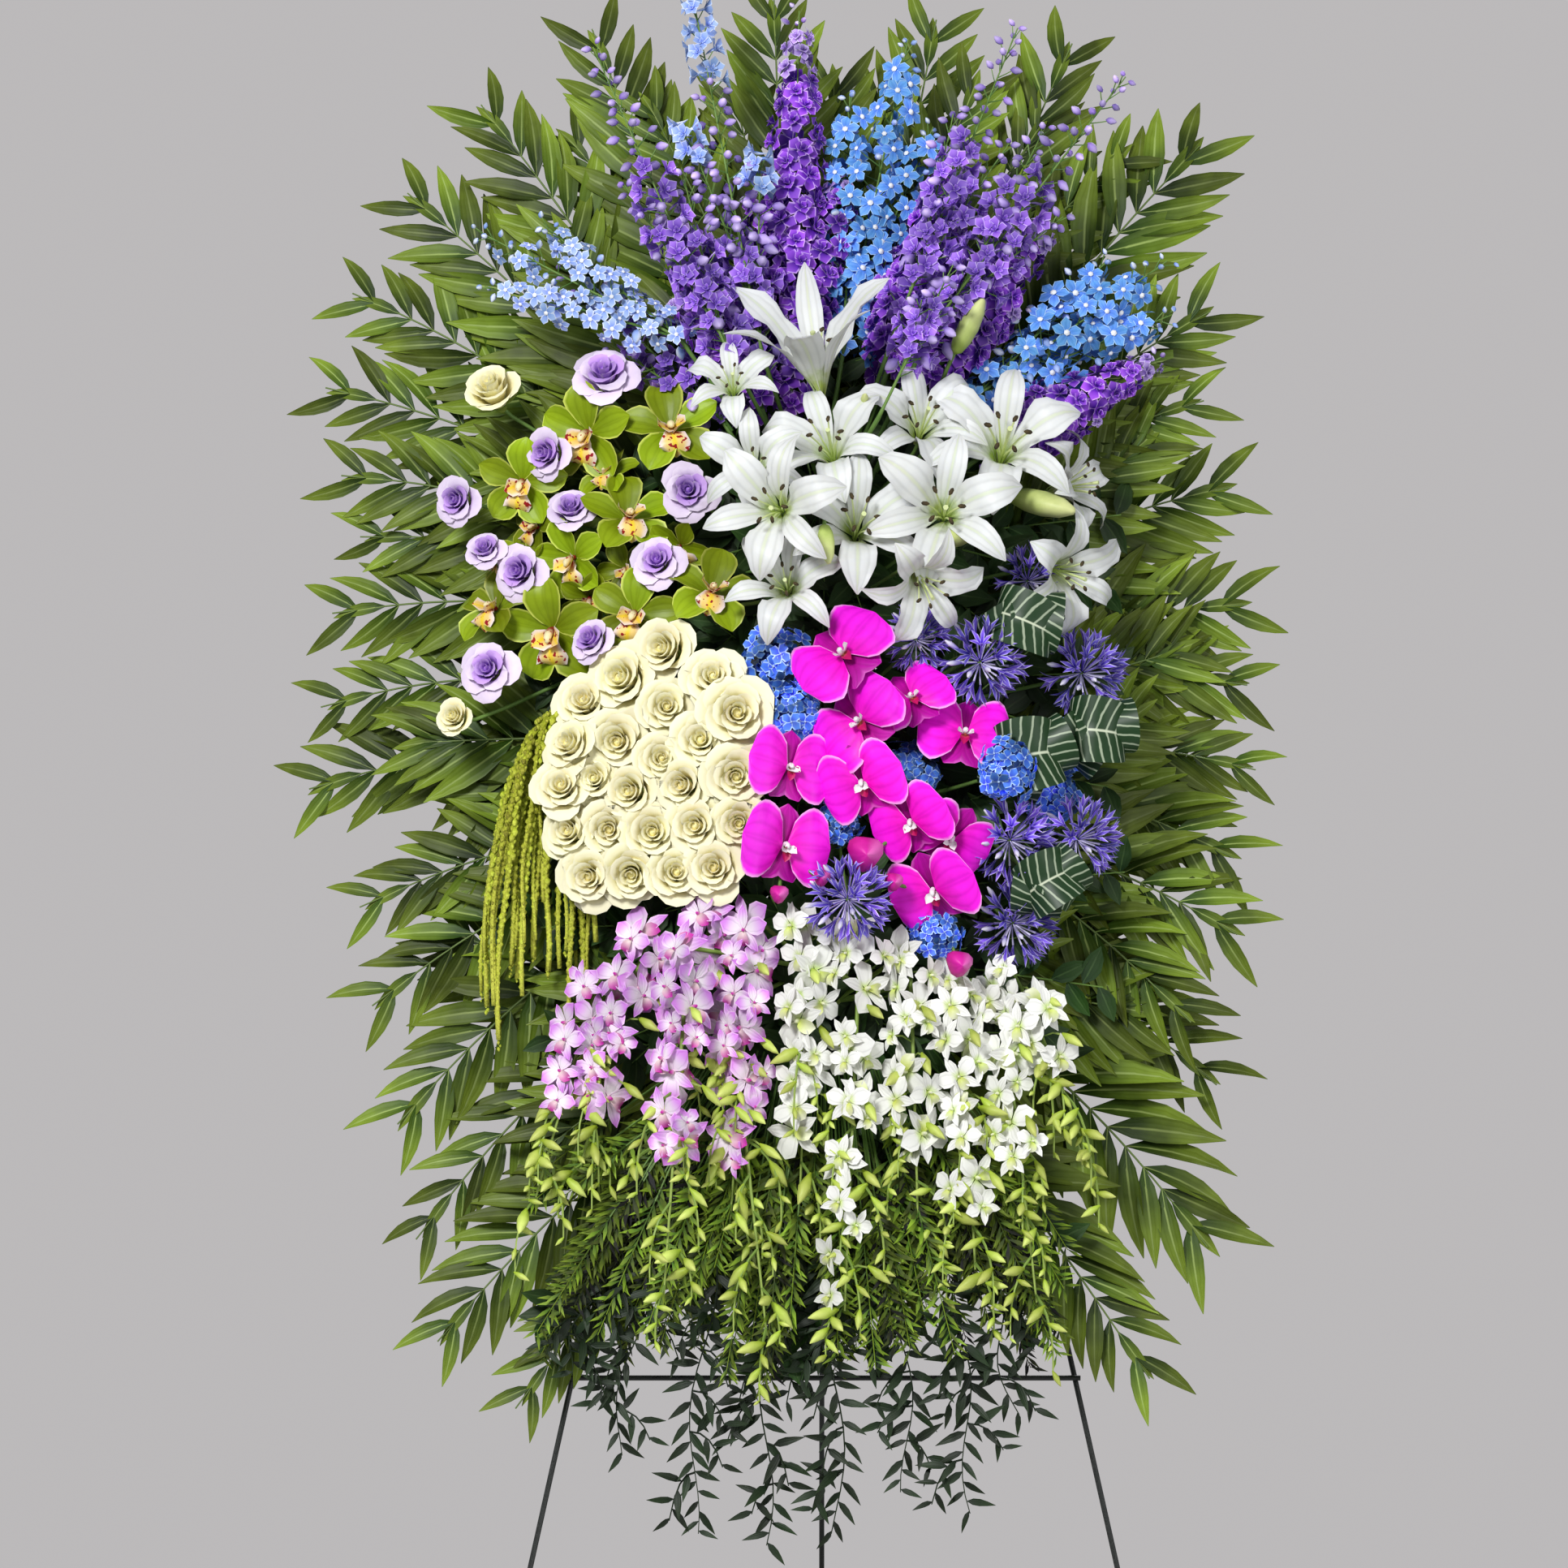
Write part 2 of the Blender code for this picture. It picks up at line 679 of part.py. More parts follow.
def bowed(point):
    """The fronds' common curve: back at the sides and at the top."""
    side = max(0.0, abs(point.x) - 0.20) / 0.33
    top = max(0.0, point.z - 1.50) / 0.40
    return Vector((point.x, point.y + 0.05 * side * side + 0.05 * top * top, point.z))


def frond_path(start, way_out, tip, sag):
    """Rib of a frond: first along the way out of the foam, and then over to its tip."""
    middle = start.lerp(tip, 0.55) + Vector((0, 0, sag))
    control = [start, start + way_out * 0.05, middle, tip]
    path = [curve_point(control, t) for t in (0.0, 0.14)]
    path += [curve_point(control, 0.30 + 0.68 * k / LEAFLET_PAIRS) for k in range(LEAFLET_PAIRS + 1)]
    path.append(tip + (tip - middle).normalized() * 0.05)
    return path


def palm_fronds():
    for count, (name, fronds) in enumerate(FRONDS):
        shapes = []
        layer = FROND_LAYERS[count % len(FROND_LAYERS)]
        for where, column, row, sag, reach in fronds:
            half = 0.0026
            bare = 2
            lead = []
            if where is None:
                start = start + FORWARD * 0.0004
                half = 0.0022
            else:
                if "top" in name:
                    mouth = Vector((where, -layer, brick_box(BRICK_ROWS["upper"])[1].z))
                    way_out = Vector((0, 0, 1))
                else:
                    side = -1 if "left" in name else 1
                    mouth = Vector((side * BRICK_WIDTH / 2, -layer, at(0, where, layer).z))
                    way_out = Vector((side, 0, 0))
                stem_holes.append((mouth, -way_out))
                start = mouth + way_out * 0.007
                bare = 3
                lead = [mouth - way_out * (HOLE_DEPTH - GAP)]
            tip = at(column, row, layer)

            def leaflet(share, reach=reach):
                return reach * (0.60 + 0.80 * share - 0.95 * share * share), math.radians(60 - 36 * share)

            for n in range(20):
                path = lead + frond_path(start, way_out, tip, sag + 0.004 * n * (-1) ** n)
                if where is None:
                    path[1:] = [p + FORWARD * FROND_OFFSET for p in path[1:]]
                shape = feather([bowed(p) for p in path], bare, half, leaflet)
                if free(shape, name):
                    break
            else:
                print("frond not clear:", name)
            shapes.append(keep(shape, name))
        fused(name, shapes, PALM)


# Upright spikes
# Each row: name, material, root, base and tip places, depth, knots along it, radius, relief

SPIKES = (
    ("stock_centre", VIOLET, (1015, 604), (975, 470), (985, -5), 0.150, 13, 0.032, 0.24),
    ("stock_left", VIOLET, (988, 648), (925, 470), (812, 235), 0.165, 9, 0.031, 0.24),
    ("stock_right_upper", VIOLET, (1042, 604), (1105, 420), (1188, 165), 0.150, 9, 0.033, 0.24),
    ("stock_right_middle", VIOLET, (1042, 648), (1160, 440), (1300, 262), 0.165, 8, 0.031, 0.24),
    ("stock_right_lower", VIOLET, (1042, 692), (1240, 540), (1440, 432), 0.150, 7, 0.028, 0.24),
    ("larkspur_left", LAVENDER, (988, 604), (890, 440), (728, 72), 0.128, 11, 0.026, 0.32),
    ("larkspur_left_low", LAVENDER, (988, 670), (875, 500), (690, 318), 0.150, 8, 0.025, 0.32),
    ("larkspur_top", LAVENDER, (988, 582), (935, 430), (850, -12), 0.135, 12, 0.026, 0.32),
    ("larkspur_right", LAVENDER, (1042, 626), (1165, 400), (1392, 105), 0.128, 10, 0.026, 0.32),
    ("larkspur_right_top", LAVENDER, (1042, 582), (1120, 380), (1258, 40), 0.125, 9, 0.024, 0.32),
    ("larkspur_middle", LAVENDER, (1015, 630), (1090, 520), (1175, 345), 0.180, 6, 0.024, 0.32),
    ("blue_delphinium_top", SKY, (1015, 582), (1045, 400), (1122, 30), 0.140, 11, 0.027, 0.30),
    ("blue_delphinium_right", SKY, (1042, 670), (1210, 480), (1445, 312), 0.145, 9, 0.027, 0.30),
    ("blue_delphinium_left", SKY, (988, 626), (820, 420), (582, 292), 0.128, 9, 0.024, 0.30),
)


def spikes():
    for n, (name, material, root, base, tip, depth, knots, radius, relief) in enumerate(SPIKES):
        mouth, end = front_root(*root)
        for attempt in range(40):
            draw = random.Random(n + 3)
            push = FORWARD * 0.005 * attempt
            foot = at(base[0], base[1], depth) + push
            head = at(tip[0], tip[1], depth - 0.015) + push
            below = foot - (head - foot).normalized() * radius * 0.7
            path = [end, mouth + FORWARD * 0.018, below]
            radii = [STEM_RADIUS * 1.1] * 3
            for k in range(knots):
                t = k / knots
                path.append(foot.lerp(head, t))
                radii.append(radius * (0.75 + 1.0 * t - 1.45 * t * t))
            path.append(head)
            radii.append(0)
            shape = swept(path, radii, SPIKE_SIDES, relief, (False, True), draw)
            if free(shape, name):
                break
        else:
            print("spike not clear:", name)
        fused(name, [keep(shape, name)], material)


# Blooms on stems of their own, each given by column, row, radius and sometimes its facing

UP = (0.05, -0.35, 1.0)
LILIES_UPPER = (
    (1005, 455, 82, UP), (902, 484, 52), (1022, 552, 74), (1136, 522, 72), (1237, 552, 88),
    (1322, 596, 62, (0.95, -0.6, 0.1)),
)
LILIES_LOWER = (
    (928, 580, 62), (956, 640, 78), (1056, 650, 80), (1162, 640, 86),
    (1136, 728, 66, (0.1, -0.9, -0.7)), (968, 722, 66), (1312, 706, 68, (0.8, -0.8, -0.35)),
)
CYMBIDIUMS = (
    (723, 530, 48), (825, 526, 48), (641, 590, 42), (772, 637, 46), (706, 686, 40),
    (608, 750, 40), (680, 776, 50), (782, 756, 44), (876, 731, 46),
)
LILAC_ROSES = (
    (743, 461, 32), (604, 478, 33), (674, 556, 26), (849, 604, 28), (562, 614, 25), (702, 628, 24),
    (641, 704, 27), (596, 678, 21), (811, 693, 26), (731, 790, 24), (602, 826, 28), (560, 884, 22),
)
CREAM_ROSES = (
    (821, 801, 28), (770, 838, 31), (880, 838, 26), (722, 868, 27), (822, 872, 25), (908, 880, 31),
    (763, 914, 30), (865, 914, 27), (706, 924, 25), (816, 936, 24), (694, 976, 25), (735, 962, 24),
    (780, 976, 27), (845, 968, 27), (908, 956, 28), (706, 1026, 26), (752, 1022, 26), (806, 1026, 28),
    (860, 1018, 27), (912, 1014, 24), (730, 1080, 27), (780, 1076, 28), (834, 1076, 26), (882, 1070, 27),
)
PHALAENOPSES = (
    (1039, 808, 55), (1060, 890, 52), (1122, 862, 44), (1188, 905, 50), (972, 946, 46),
    (1062, 964, 46), (966, 1042, 50), (1122, 1012, 44), (1172, 1032, 42), (1150, 1096, 48),
)
HYDRANGEAS = (
    (955, 812, 40), (978, 880, 34), (1122, 948, 34), (1240, 968, 36), (1308, 920, 34),
    (1296, 984, 34), (1030, 1012, 30), (1152, 1152, 32),
)
AGAPANTHUSES = (
    (1210, 822, 44), (1338, 830, 42), (1130, 790, 34), (1246, 1042, 42), (1330, 1040, 40),
    (1044, 1118, 42), (1250, 1140, 42), (1270, 716, 34),
)


def bloom_bunch(name, material, form, blooms, root, lift=0.0, seat=0.1):
    """Blooms of one kind, each pushed forward until it is clear, on stems to one root."""
    hub, shapes = hub_of(root, name)
    for column, row, radius, *facing in blooms:
        face = Vector(facing[0]).normalized() if facing else outward(column, row)
        start = at(column, row, dome(column, row) + lift)
        roll = rng.uniform(-0.3, 0.3)
        size = radius * PIXEL

        def make(push, scale):
            return moved(form, start + FORWARD * push, face, size * scale, roll)

        shape, push = settled(make, name)
        shapes.append(shape)
        centre = start + FORWARD * push
        shapes.append(routed(name, hub, centre - face * size * seat))
    fused(name, shapes, material)


# Each loop: place, width and height, turn
STRIPED_LOOPS = (
    ((1262, 770), (52, 40), 0.4), ((1268, 935), (46, 52), -0.2),
    ((1352, 905), (44, 46), 0.1), ((1292, 1088), (42, 40), -0.5),
)


def striped_leaves():
    """Long leaves folded over into loops, their ends back at the stem."""
    name = "striped_leaves"
    hub, shapes = hub_of(front_root(1042, 910), name)
    for (column, row), (wide, high), turn in STRIPED_LOOPS:
        start = at(column, row, dome(column, row) + 0.02)

        def make(push, scale):
            return loop_leaf(start + FORWARD * push, wide * PIXEL * scale, high * PIXEL * scale, turn)

        shape, push = settled(make, name)
        shapes.append(shape)
        shapes.append(routed(name, hub, start + FORWARD * push + Vector((0, 0.0205, 0))))
    fused(name, shapes, STRIPED)


def loop_leaf(centre, wide, high, turn):
    """Closed strip bent over itself, like a leaf whose tip is tucked behind."""
    steps = 9
    verts = []
    faces = []
    thick = 0.0014
    for k in range(steps):
        a = 2 * math.pi * (k + 0.5) / steps
        rise = 0.020 * math.cos(a)
        half = high * (0.65 + 0.35 * math.cos(a)) * 0.55
        slip = wide * 0.5 * math.sin(a)
        for offset in (1, -1):
            normal = Vector((math.sin(a) * 0.6, -math.cos(a), 0)) * thick * offset
            for end in (1, -1):
                local = Vector((slip, -rise, half * end)) + normal
                verts.append(centre + Matrix.Rotation(turn, 3, "Y") @ local)
    for k in range(steps):
        low = 4 * k
        up = 4 * ((k + 1) % steps)
        faces += [
            (low, low + 1, up + 1, up), (low + 2, up + 2, up + 3, low + 3),
            (low, up, up + 2, low + 2), (low + 1, low + 3, up + 3, up + 1),
        ]
    return verts, faces


# Trailing stems

# Each tassel: column, row of its end
TASSELS = (
    (598, 1225), (614, 1275), (629, 1190), (644, 1215), (659, 1180), (674, 1205), (689, 1195),
    (703, 1290), (717, 1335), (732, 1150),
)


def amaranthus():
    """Bunch of hanging tassels, each knobbly from end to end."""
    name = "amaranthus_tassels"
    mouth, end = front_root(988, 870)
    hub = at(690, 868, 0.160)
    branch = swept([end, mouth + FORWARD * 0.02, hub], [0.003] * 3, 4)
    knuckle = spindle(hub - FORWARD * HUB_RADIUS, hub + FORWARD * HUB_RADIUS, HUB_RADIUS, 4, 0.5)
    shapes = [keep(branch, name), keep(knuckle, name)]
    draw = random.Random(11)
    for n, (column, end_row) in enumerate(TASSELS):
        top = at(column, 880 + abs(column - 680) * 0.42, 0.163 + 0.014 * (n % 2))
        drop = (end_row - 880) * PIXEL
        path = [hub, top]
        radii = [0, 0.003]
        steps = 8
        for k in range(steps):
            share = (k + 0.4) / steps
            path.append(top + DOWN * drop * share + Vector((draw.uniform(-0.002, 0.002), 0, 0)))
            radii.append((0.0072 if k % 2 else 0.0046) * (1 - 0.45 * share))
        path.append(top + DOWN * drop)
        radii.append(0)
        shapes.append(keep(swept(path, radii, 3, 0.0, (True, True)), name))
    fused(name, shapes, AMARANTH)


# Each strand: column and row of its end, leaf length, depth
STRANDS = (
    (760, 1790, 0.040), (850, 1885, 0.040), (940, 1900, 0.040), (1030, 1885, 0.040),
    (1120, 1835, 0.040), (1200, 1860, 0.040), (1250, 1740, 0.040),
    (695, 1690, 0.060), (985, 1700, 0.060),
)
STRAND_PAIRS = 4


def trailing_leaves():
    """Strands of pointed leaves and short ferns that hang from the lowest brick."""
    name = "trailing_ruscus"
    hub, shapes = hub_of(front_root(1015, 1330), name)
    for n, (column, end_row, wide) in enumerate(STRANDS):
        start_row = 1545 + 14 * (n % 3)
        top = at(AXIS_COLUMN + (column - AXIS_COLUMN) * 0.85, start_row, 0.118 + 0.012 * (n % 2))
        bottom = top + DOWN * (end_row - start_row) * PIXEL
        bottom.x = (column - AXIS_COLUMN) * PIXEL
        path = [hub, hub.lerp(top, 0.6), top]
        path += [top.lerp(bottom, k / STRAND_PAIRS) for k in range(1, STRAND_PAIRS + 1)]
        path.append(bottom + (bottom - top).normalized() * 0.02)

        def leaflet(share, wide=wide):
            return wide * (1.1 - 0.35 * share), math.radians(38)

        shapes.append(keep(feather(path, 2, 0.0016, leaflet), name))
    fused(name, shapes, LEAF)


def dendrobium_sprays(name, material, root, sprays, seed):
    """Arching stems with open blooms along them and buds at their tips."""
    draw = random.Random(seed)
    form = dendrobium_form()
    hub, shapes = hub_of(root, name)
    for column, row, end_column, end_row, blooms, buds in sprays:
        top = at(column, row, dome(column, row) - 0.03)
        bottom = at(end_column, end_row, 0.150)
        middle = top.lerp(bottom, 0.45) + FORWARD * 0.05
        for attempt in range(20):
            bend = FORWARD * 0.006 * attempt
            arch = [top + bend, middle + bend, bottom + bend]
            path = [hub] + [curve_point(arch, k / 4) for k in range(5)]
            stem = swept(path, [0, 0.0024, 0.0024, 0.0022, 0.002, 0], 3, 0.0, (True, True))
            if free(stem, name):
                break
        else:
            print("not clear:", name, column, row)
        shapes.append(keep(stem, name))
        count = blooms + buds
        for k in range(count):
            t = 0.02 + 0.93 * k / (count - 1)
            here = path_point(path[1:], t)
            side = 1 if k % 2 else -1
            for attempt in range(12):
                if k < blooms:
                    face = Vector((side * draw.uniform(0.5, 0.9), -1, draw.uniform(-0.5, 0.2))).normalized()
                    size = draw.uniform(0.031, 0.037) * (1 - 0.03 * attempt)
                    shape = moved(form, here + face * size * 0.35, face, size, draw.uniform(-0.5, 0.5))
                else:
                    way = Vector((side * draw.uniform(0.5, 0.9), -0.5, -0.6)).normalized()
                    length = 0.030 - 0.010 * t
                    shape = spindle(here - way * 0.001, here + way * length, 0.0066 - 0.002 * t, 3, 0.6)
                if free(shape, name):
                    shapes.append(keep(shape, name, True))
                    break
    fused(name, shapes, material)


# Each spray: column and row of its start and of its tip, open blooms, buds
PINK_SPRAYS = (
    (880, 1125, 800, 1420, 4, 1), (800, 1150, 715, 1440, 4, 1), (745, 1190, 660, 1480, 3, 2),
    (930, 1130, 900, 1500, 5, 1), (850, 1180, 820, 1600, 4, 2), (900, 1240, 945, 1640, 3, 3),
)
WHITE_SPRAYS = (
    (1000, 1130, 985, 1480, 5, 1), (1060, 1150, 1040, 1610, 5, 2), (1120, 1170, 1130, 1500, 4, 1),
    (1180, 1200, 1200, 1560, 4, 1), (1230, 1210, 1275, 1600, 3, 2), (1250, 1200, 1330, 1400, 3, 2),
)


def centre_on_origin():
    """Moves the whole so that the origin lies on the floor under the middle of its box."""
    bpy.context.view_layer.update()
    meshes = [o for o in parts_collection.objects if o.type == "MESH"]
    corners = [o.matrix_world @ v.co for o in meshes for v in o.data.vertices]
    for axis in (0, 1):
        low = min(c[axis] for c in corners)
        high = max(c[axis] for c in corners)
        stand.location[axis] = -(low + high) / 2
    bpy.context.view_layer.update()


easel()
foam_cage()
palm_fronds()
trailing_leaves()
amaranthus()
spikes()
dendrobium_sprays("pink_dendrobiums", PINK, front_root(1001, 1200), PINK_SPRAYS, 21)
dendrobium_sprays("white_dendrobiums", PEARL, front_root(1030, 1240), WHITE_SPRAYS, 22)
striped_leaves()
bloom_bunch("hydrangea_heads", BLUE, hydrangea_form(), HYDRANGEAS, front_root(1042, 1010), -0.04)
bloom_bunch("agapanthus_heads", INDIGO, agapanthus_form(), AGAPANTHUSES, front_root(1015, 900), -0.035)
bloom_bunch("phalaenopsis_spray", MAGENTA, phalaenopsis_form(), PHALAENOPSES, front_root(1015, 960), seat=0.08)
bloom_bunch("cymbidium_spray", LIME, cymbidium_form(), CYMBIDIUMS, front_root(988, 740), -0.02, 0.08)
bloom_bunch("cream_roses", CREAM, rose_form(), CREAM_ROSES, front_root(988, 980), -0.01)
bloom_bunch("lilac_roses", LILAC, rose_form(), LILAC_ROSES, front_root(988, 704))
bloom_bunch("lily_stem_upper", WHITE, lily_form(), LILIES_UPPER, front_root(1015, 680), 0.01, 0.3)
bloom_bunch("lily_stem_lower", WHITE, lily_form(), LILIES_LOWER, front_root(1028, 750), 0.01, 0.3)
foam_bricks()
centre_on_origin()
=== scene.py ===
"""Looks of the standing funeral spray: fronds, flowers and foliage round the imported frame.

Forms are made in the space of the plane that the flowers lie on, which leans back with the
easel: x across, z up the easel, and -y to the viewer. Places are columns and rows of the
reference picture, PIXEL metres each, and the solids of the frame give the depths.
"""
import json
import random
from collections import namedtuple
from math import atan2, cos, exp, log, pi, radians, sin, sqrt

import bpy
import numpy as np
from mathutils import Matrix, Vector
from mathutils.kdtree import KDTree


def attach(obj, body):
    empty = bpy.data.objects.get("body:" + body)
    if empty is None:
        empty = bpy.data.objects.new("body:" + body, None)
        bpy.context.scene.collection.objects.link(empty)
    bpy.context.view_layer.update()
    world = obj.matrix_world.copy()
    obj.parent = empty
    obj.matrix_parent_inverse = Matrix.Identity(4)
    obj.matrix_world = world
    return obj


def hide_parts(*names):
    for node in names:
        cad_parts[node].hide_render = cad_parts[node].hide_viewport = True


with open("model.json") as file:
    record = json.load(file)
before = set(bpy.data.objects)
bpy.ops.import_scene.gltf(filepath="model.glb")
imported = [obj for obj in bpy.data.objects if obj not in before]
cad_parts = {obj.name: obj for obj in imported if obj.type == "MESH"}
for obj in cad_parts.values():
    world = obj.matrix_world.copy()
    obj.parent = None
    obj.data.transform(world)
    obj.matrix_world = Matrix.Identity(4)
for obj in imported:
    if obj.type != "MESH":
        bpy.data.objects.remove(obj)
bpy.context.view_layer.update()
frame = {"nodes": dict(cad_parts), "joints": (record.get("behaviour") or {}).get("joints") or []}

# Driving sizes, as in the model
PIXEL = 0.0009
AXIS_COLUMN = 1015
FLOOR_ROW = 2080
LEAN = radians(12)
HINGE_ROW = 400
BAR_DEPTH = 0.0063
BRICK_FRONT = 0.0929
BRICK_HALF_WIDTH = 0.055
BRICK_TOP_ROW = 672
BRICK_STEP = 276
BRICK_HALF_HEIGHT = 0.115
HOLE_DEPTH = 0.0217
HUB_REACH = 0.030
FROND_LAYERS = (0.040, 0.054, 0.068, 0.082)
FROND_OFFSET = 0.0068
DOME_ROW = 880
DOME_EDGE = 0.140
DOME_RISE = 0.120
# Turns that spread things evenly round an axis, and shares that spread them along a line
GOLDEN = pi * (3 - sqrt(5))
GOLDEN_SHARE = 0.618034

# Camera, picture and floor
PICTURE = 1932
CAMERA_DISTANCE = 12.0
SUBJECT_DEPTH = -0.25
SENSOR = 36.0
FLOOR_RADIUS = 1.3
FLOOR_SIDES = 96


# The leaning plane

def unit(v):
    v = np.asarray(v, float)
    return v / np.linalg.norm(v)


def at(column, row, depth):
    """Point of the leaning plane's space that the viewer sees at that column and row."""
    height = (FLOOR_ROW - row) * PIXEL
    return np.array([(column - AXIS_COLUMN) * PIXEL, -depth, (height - depth * sin(LEAN)) / cos(LEAN)])


LEANING = np.array(Matrix.Rotation(-LEAN, 3, "X"))
STAND = np.array(frame["joints"][0]["pos_m"]) - LEANING @ at(AXIS_COLUMN, HINGE_ROW, -BAR_DEPTH)
DOWN = LEANING.T @ np.array([0.0, 0.0, -1.0])
FORWARD = np.array([0.0, -1.0, 0.0])
FOAM_TOP = at(AXIS_COLUMN, BRICK_TOP_ROW, BRICK_FRONT)[2] + BRICK_HALF_HEIGHT


def dome(column, row):
    """Depth of the flowers' domed front over the easel's plane."""
    return DOME_EDGE + DOME_RISE * exp(-(((column - AXIS_COLUMN) / 300) ** 2) - ((row - DOME_ROW) / 480) ** 2)


def outward(column, row):
    """Direction that a bloom faces: to the viewer, and a little away from the middle."""
    return unit(((column - AXIS_COLUMN) * PIXEL * 1.3, -1, (DOME_ROW - row) * PIXEL * 0.7))


def frame_of(facing, roll=0.0, size=1.0):
    """Matrix that carries +Z to the facing direction and +Y to the upper side, scaled."""
    z = unit(facing)
    up = (0, 0, 1) if abs(z[2]) < 0.97 else (0, 1, 0)
    x = unit(np.cross(up, z))
    y = np.cross(z, x)
    c, s = cos(roll), sin(roll)
    return np.array([x * c + y * s, y * c - x * s, z]).T * size


def pointed_at(way, facing, size=1.0):
    """Matrix that carries +X to a way and +Z as near as it can to the facing direction."""
    x = unit(way)
    z = unit(facing - x * np.dot(facing, x))
    return np.array([x, np.cross(z, x), z]).T * size


def turned(angle, tilt=0.0, twist=0.0):
    """Turn about Z, after raising +X by the tilt and twisting about it."""
    turn = Matrix.Rotation(angle, 3, "Z") @ Matrix.Rotation(-tilt, 3, "Y") @ Matrix.Rotation(twist, 3, "X")
    return np.array(turn)


def bezier(points, t):
    """Points of a Bezier curve at the shares t, or at that many even shares."""
    t = np.linspace(0, 1, t) if isinstance(t, int) else np.asarray(t)
    points = [np.outer(np.ones(len(t)), p) for p in np.array(points, float)]
    while len(points) > 1:
        points = [a + (b - a) * t[:, None] for a, b in zip(points, points[1:])]
    return points[0]


def jitter(draw, reach):
    """Random number no farther from zero than the reach."""
    return draw.uniform(-reach, reach)


# Reading places off the frame's solids

def corners_of(node):
    """Corners of a node's solid in the leaning plane's space."""
    mesh = frame["nodes"][node].data
    points = np.empty(len(mesh.vertices) * 3)
    mesh.vertices.foreach_get("co", points)
    return (points.reshape(-1, 3) - STAND) @ LEANING


def cloud_of(node):
    points = corners_of(node)
    tree = KDTree(len(points))
    for n, point in enumerate(points):
        tree.insert(point, n)
    tree.balance()
    return tree


def best(cloud, choices):
    """The result whose marks lie nearest to the solid's corners, from (marks, result) pairs."""
    misfits = [sum(cloud.find(Vector(m))[2] for m in marks) for marks, _ in choices]
    return choices[misfits.index(min(misfits))][1]


def seats(start):
    """Centres in front of a place, and scales, that a solid may have been seated with."""
    return [(start + FORWARD * 0.004 * n, scale) for scale in (1.0, 0.92, 0.84, 0.76) for n in range(30)]


def seat(cloud, marks, start, turn, size):
    """Centre and size of a bloom as its solid has them, from corners that the solid must have."""
    return best(cloud, [(c + marks @ turn.T * size * s, (c, size * s)) for c, s in seats(start)])


# Forms: points, four-cornered faces, shade (along, across, tone) and material slot

Form = namedtuple("Form", "points quads shade slot")


def shell(front, inner, slot=0):
    """Thin closed body: a front sheet and a back sheet that meet at the rim."""
    rows, columns = front.shape[:2]
    top = np.arange(rows * columns).reshape(rows, columns)
    under = top.copy()
    under[1:-1, 1:-1] = top.size + np.arange((rows - 2) * (columns - 2)).reshape(rows - 2, columns - 2)
    quads = np.concatenate([
        np.stack([top[:-1, :-1], top[1:, :-1], top[1:, 1:], top[:-1, 1:]], -1).reshape(-1, 4),
        np.stack([under[:-1, :-1], under[:-1, 1:], under[1:, 1:], under[1:, :-1]], -1).reshape(-1, 4),
    ])
    along, across = np.meshgrid(np.linspace(0, 1, rows), np.abs(np.linspace(-1, 1, columns)), indexing="ij")
    shade = np.stack([along, across, np.zeros_like(along)], -1)
    points = np.concatenate([front.reshape(-1, 3), inner.reshape(-1, 3)])
    shades = np.concatenate([shade.reshape(-1, 3), shade[1:-1, 1:-1].reshape(-1, 3)])
    return Form(points, quads, shades, np.full(len(quads), slot))


def blade(spine, half, belly=0.5, rows=6, columns=5, cup=0.0, fold=0.0, wave=0.0, waves=2.0,
          sickle=0.0, fullness=1.0, stub=0.05, thick=0.012, phase=0.0, slot=0):
    """Petal or leaf along +X that faces +Z. Its spine is a curve of (reach, rise) points."""
    u = np.linspace(0, 1, rows)
    v = np.linspace(-1, 1, columns)
    middle = bezier(spine, rows)
    ahead = np.gradient(middle, axis=0)
    ahead /= np.linalg.norm(ahead, axis=1)[:, None]
    width = half * (np.abs(np.sin(pi * u ** (log(0.5) / log(belly)))) ** fullness + stub)
    ripple = wave * np.sin(2 * pi * (waves * u[:, None] + 0.3 * v) + phase)
    lift = width[:, None] * (cup * v**2 + fold * np.abs(v) + ripple * v**2)
    front = np.stack([
        middle[:, :1] - ahead[:, 1:] * lift,
        width[:, None] * v + sickle * (u**2)[:, None],
        middle[:, 1:] + ahead[:, :1] * lift,
    ], axis=-1)
    normal = np.stack([-ahead[:, 1], np.zeros(rows), ahead[:, 0]], -1)
    return shell(front, front[1:-1, 1:-1] - normal[1:-1, None] * thick, slot)


def wrapped(angle, spread, foot, lip, bottom, top, curl=0.0, rows=5, columns=7, thick=0.02):
    """Cupped petal with a rounded, rolled lip that stands round the axis, as in a rose."""
    u = np.linspace(0, 1, rows)[:, None]
    v = np.linspace(-1, 1, columns)[None, :]
    reach = u * (1 - 0.42 * (1 - np.sqrt(1 - (0.97 * v) ** 2)))
    around = angle + spread * v * (0.55 + 0.45 * np.sin(pi * 0.75 * u))
    rolled = np.clip(reach - 0.6, 0, 1) / 0.4
    radius = foot + (lip - foot) * reach**0.9 + curl * rolled**2 + 0.04 * v * u
    height = bottom + (top - bottom) * np.sin(pi / 2 * reach) - curl * 1.2 * rolled**2.2
    front = np.stack([radius * np.cos(around), radius * np.sin(around), height], -1)
    away = np.stack([np.cos(around), np.sin(around), 0 * around], -1)
    return shell(front, (front + away * thick)[1:-1, 1:-1])


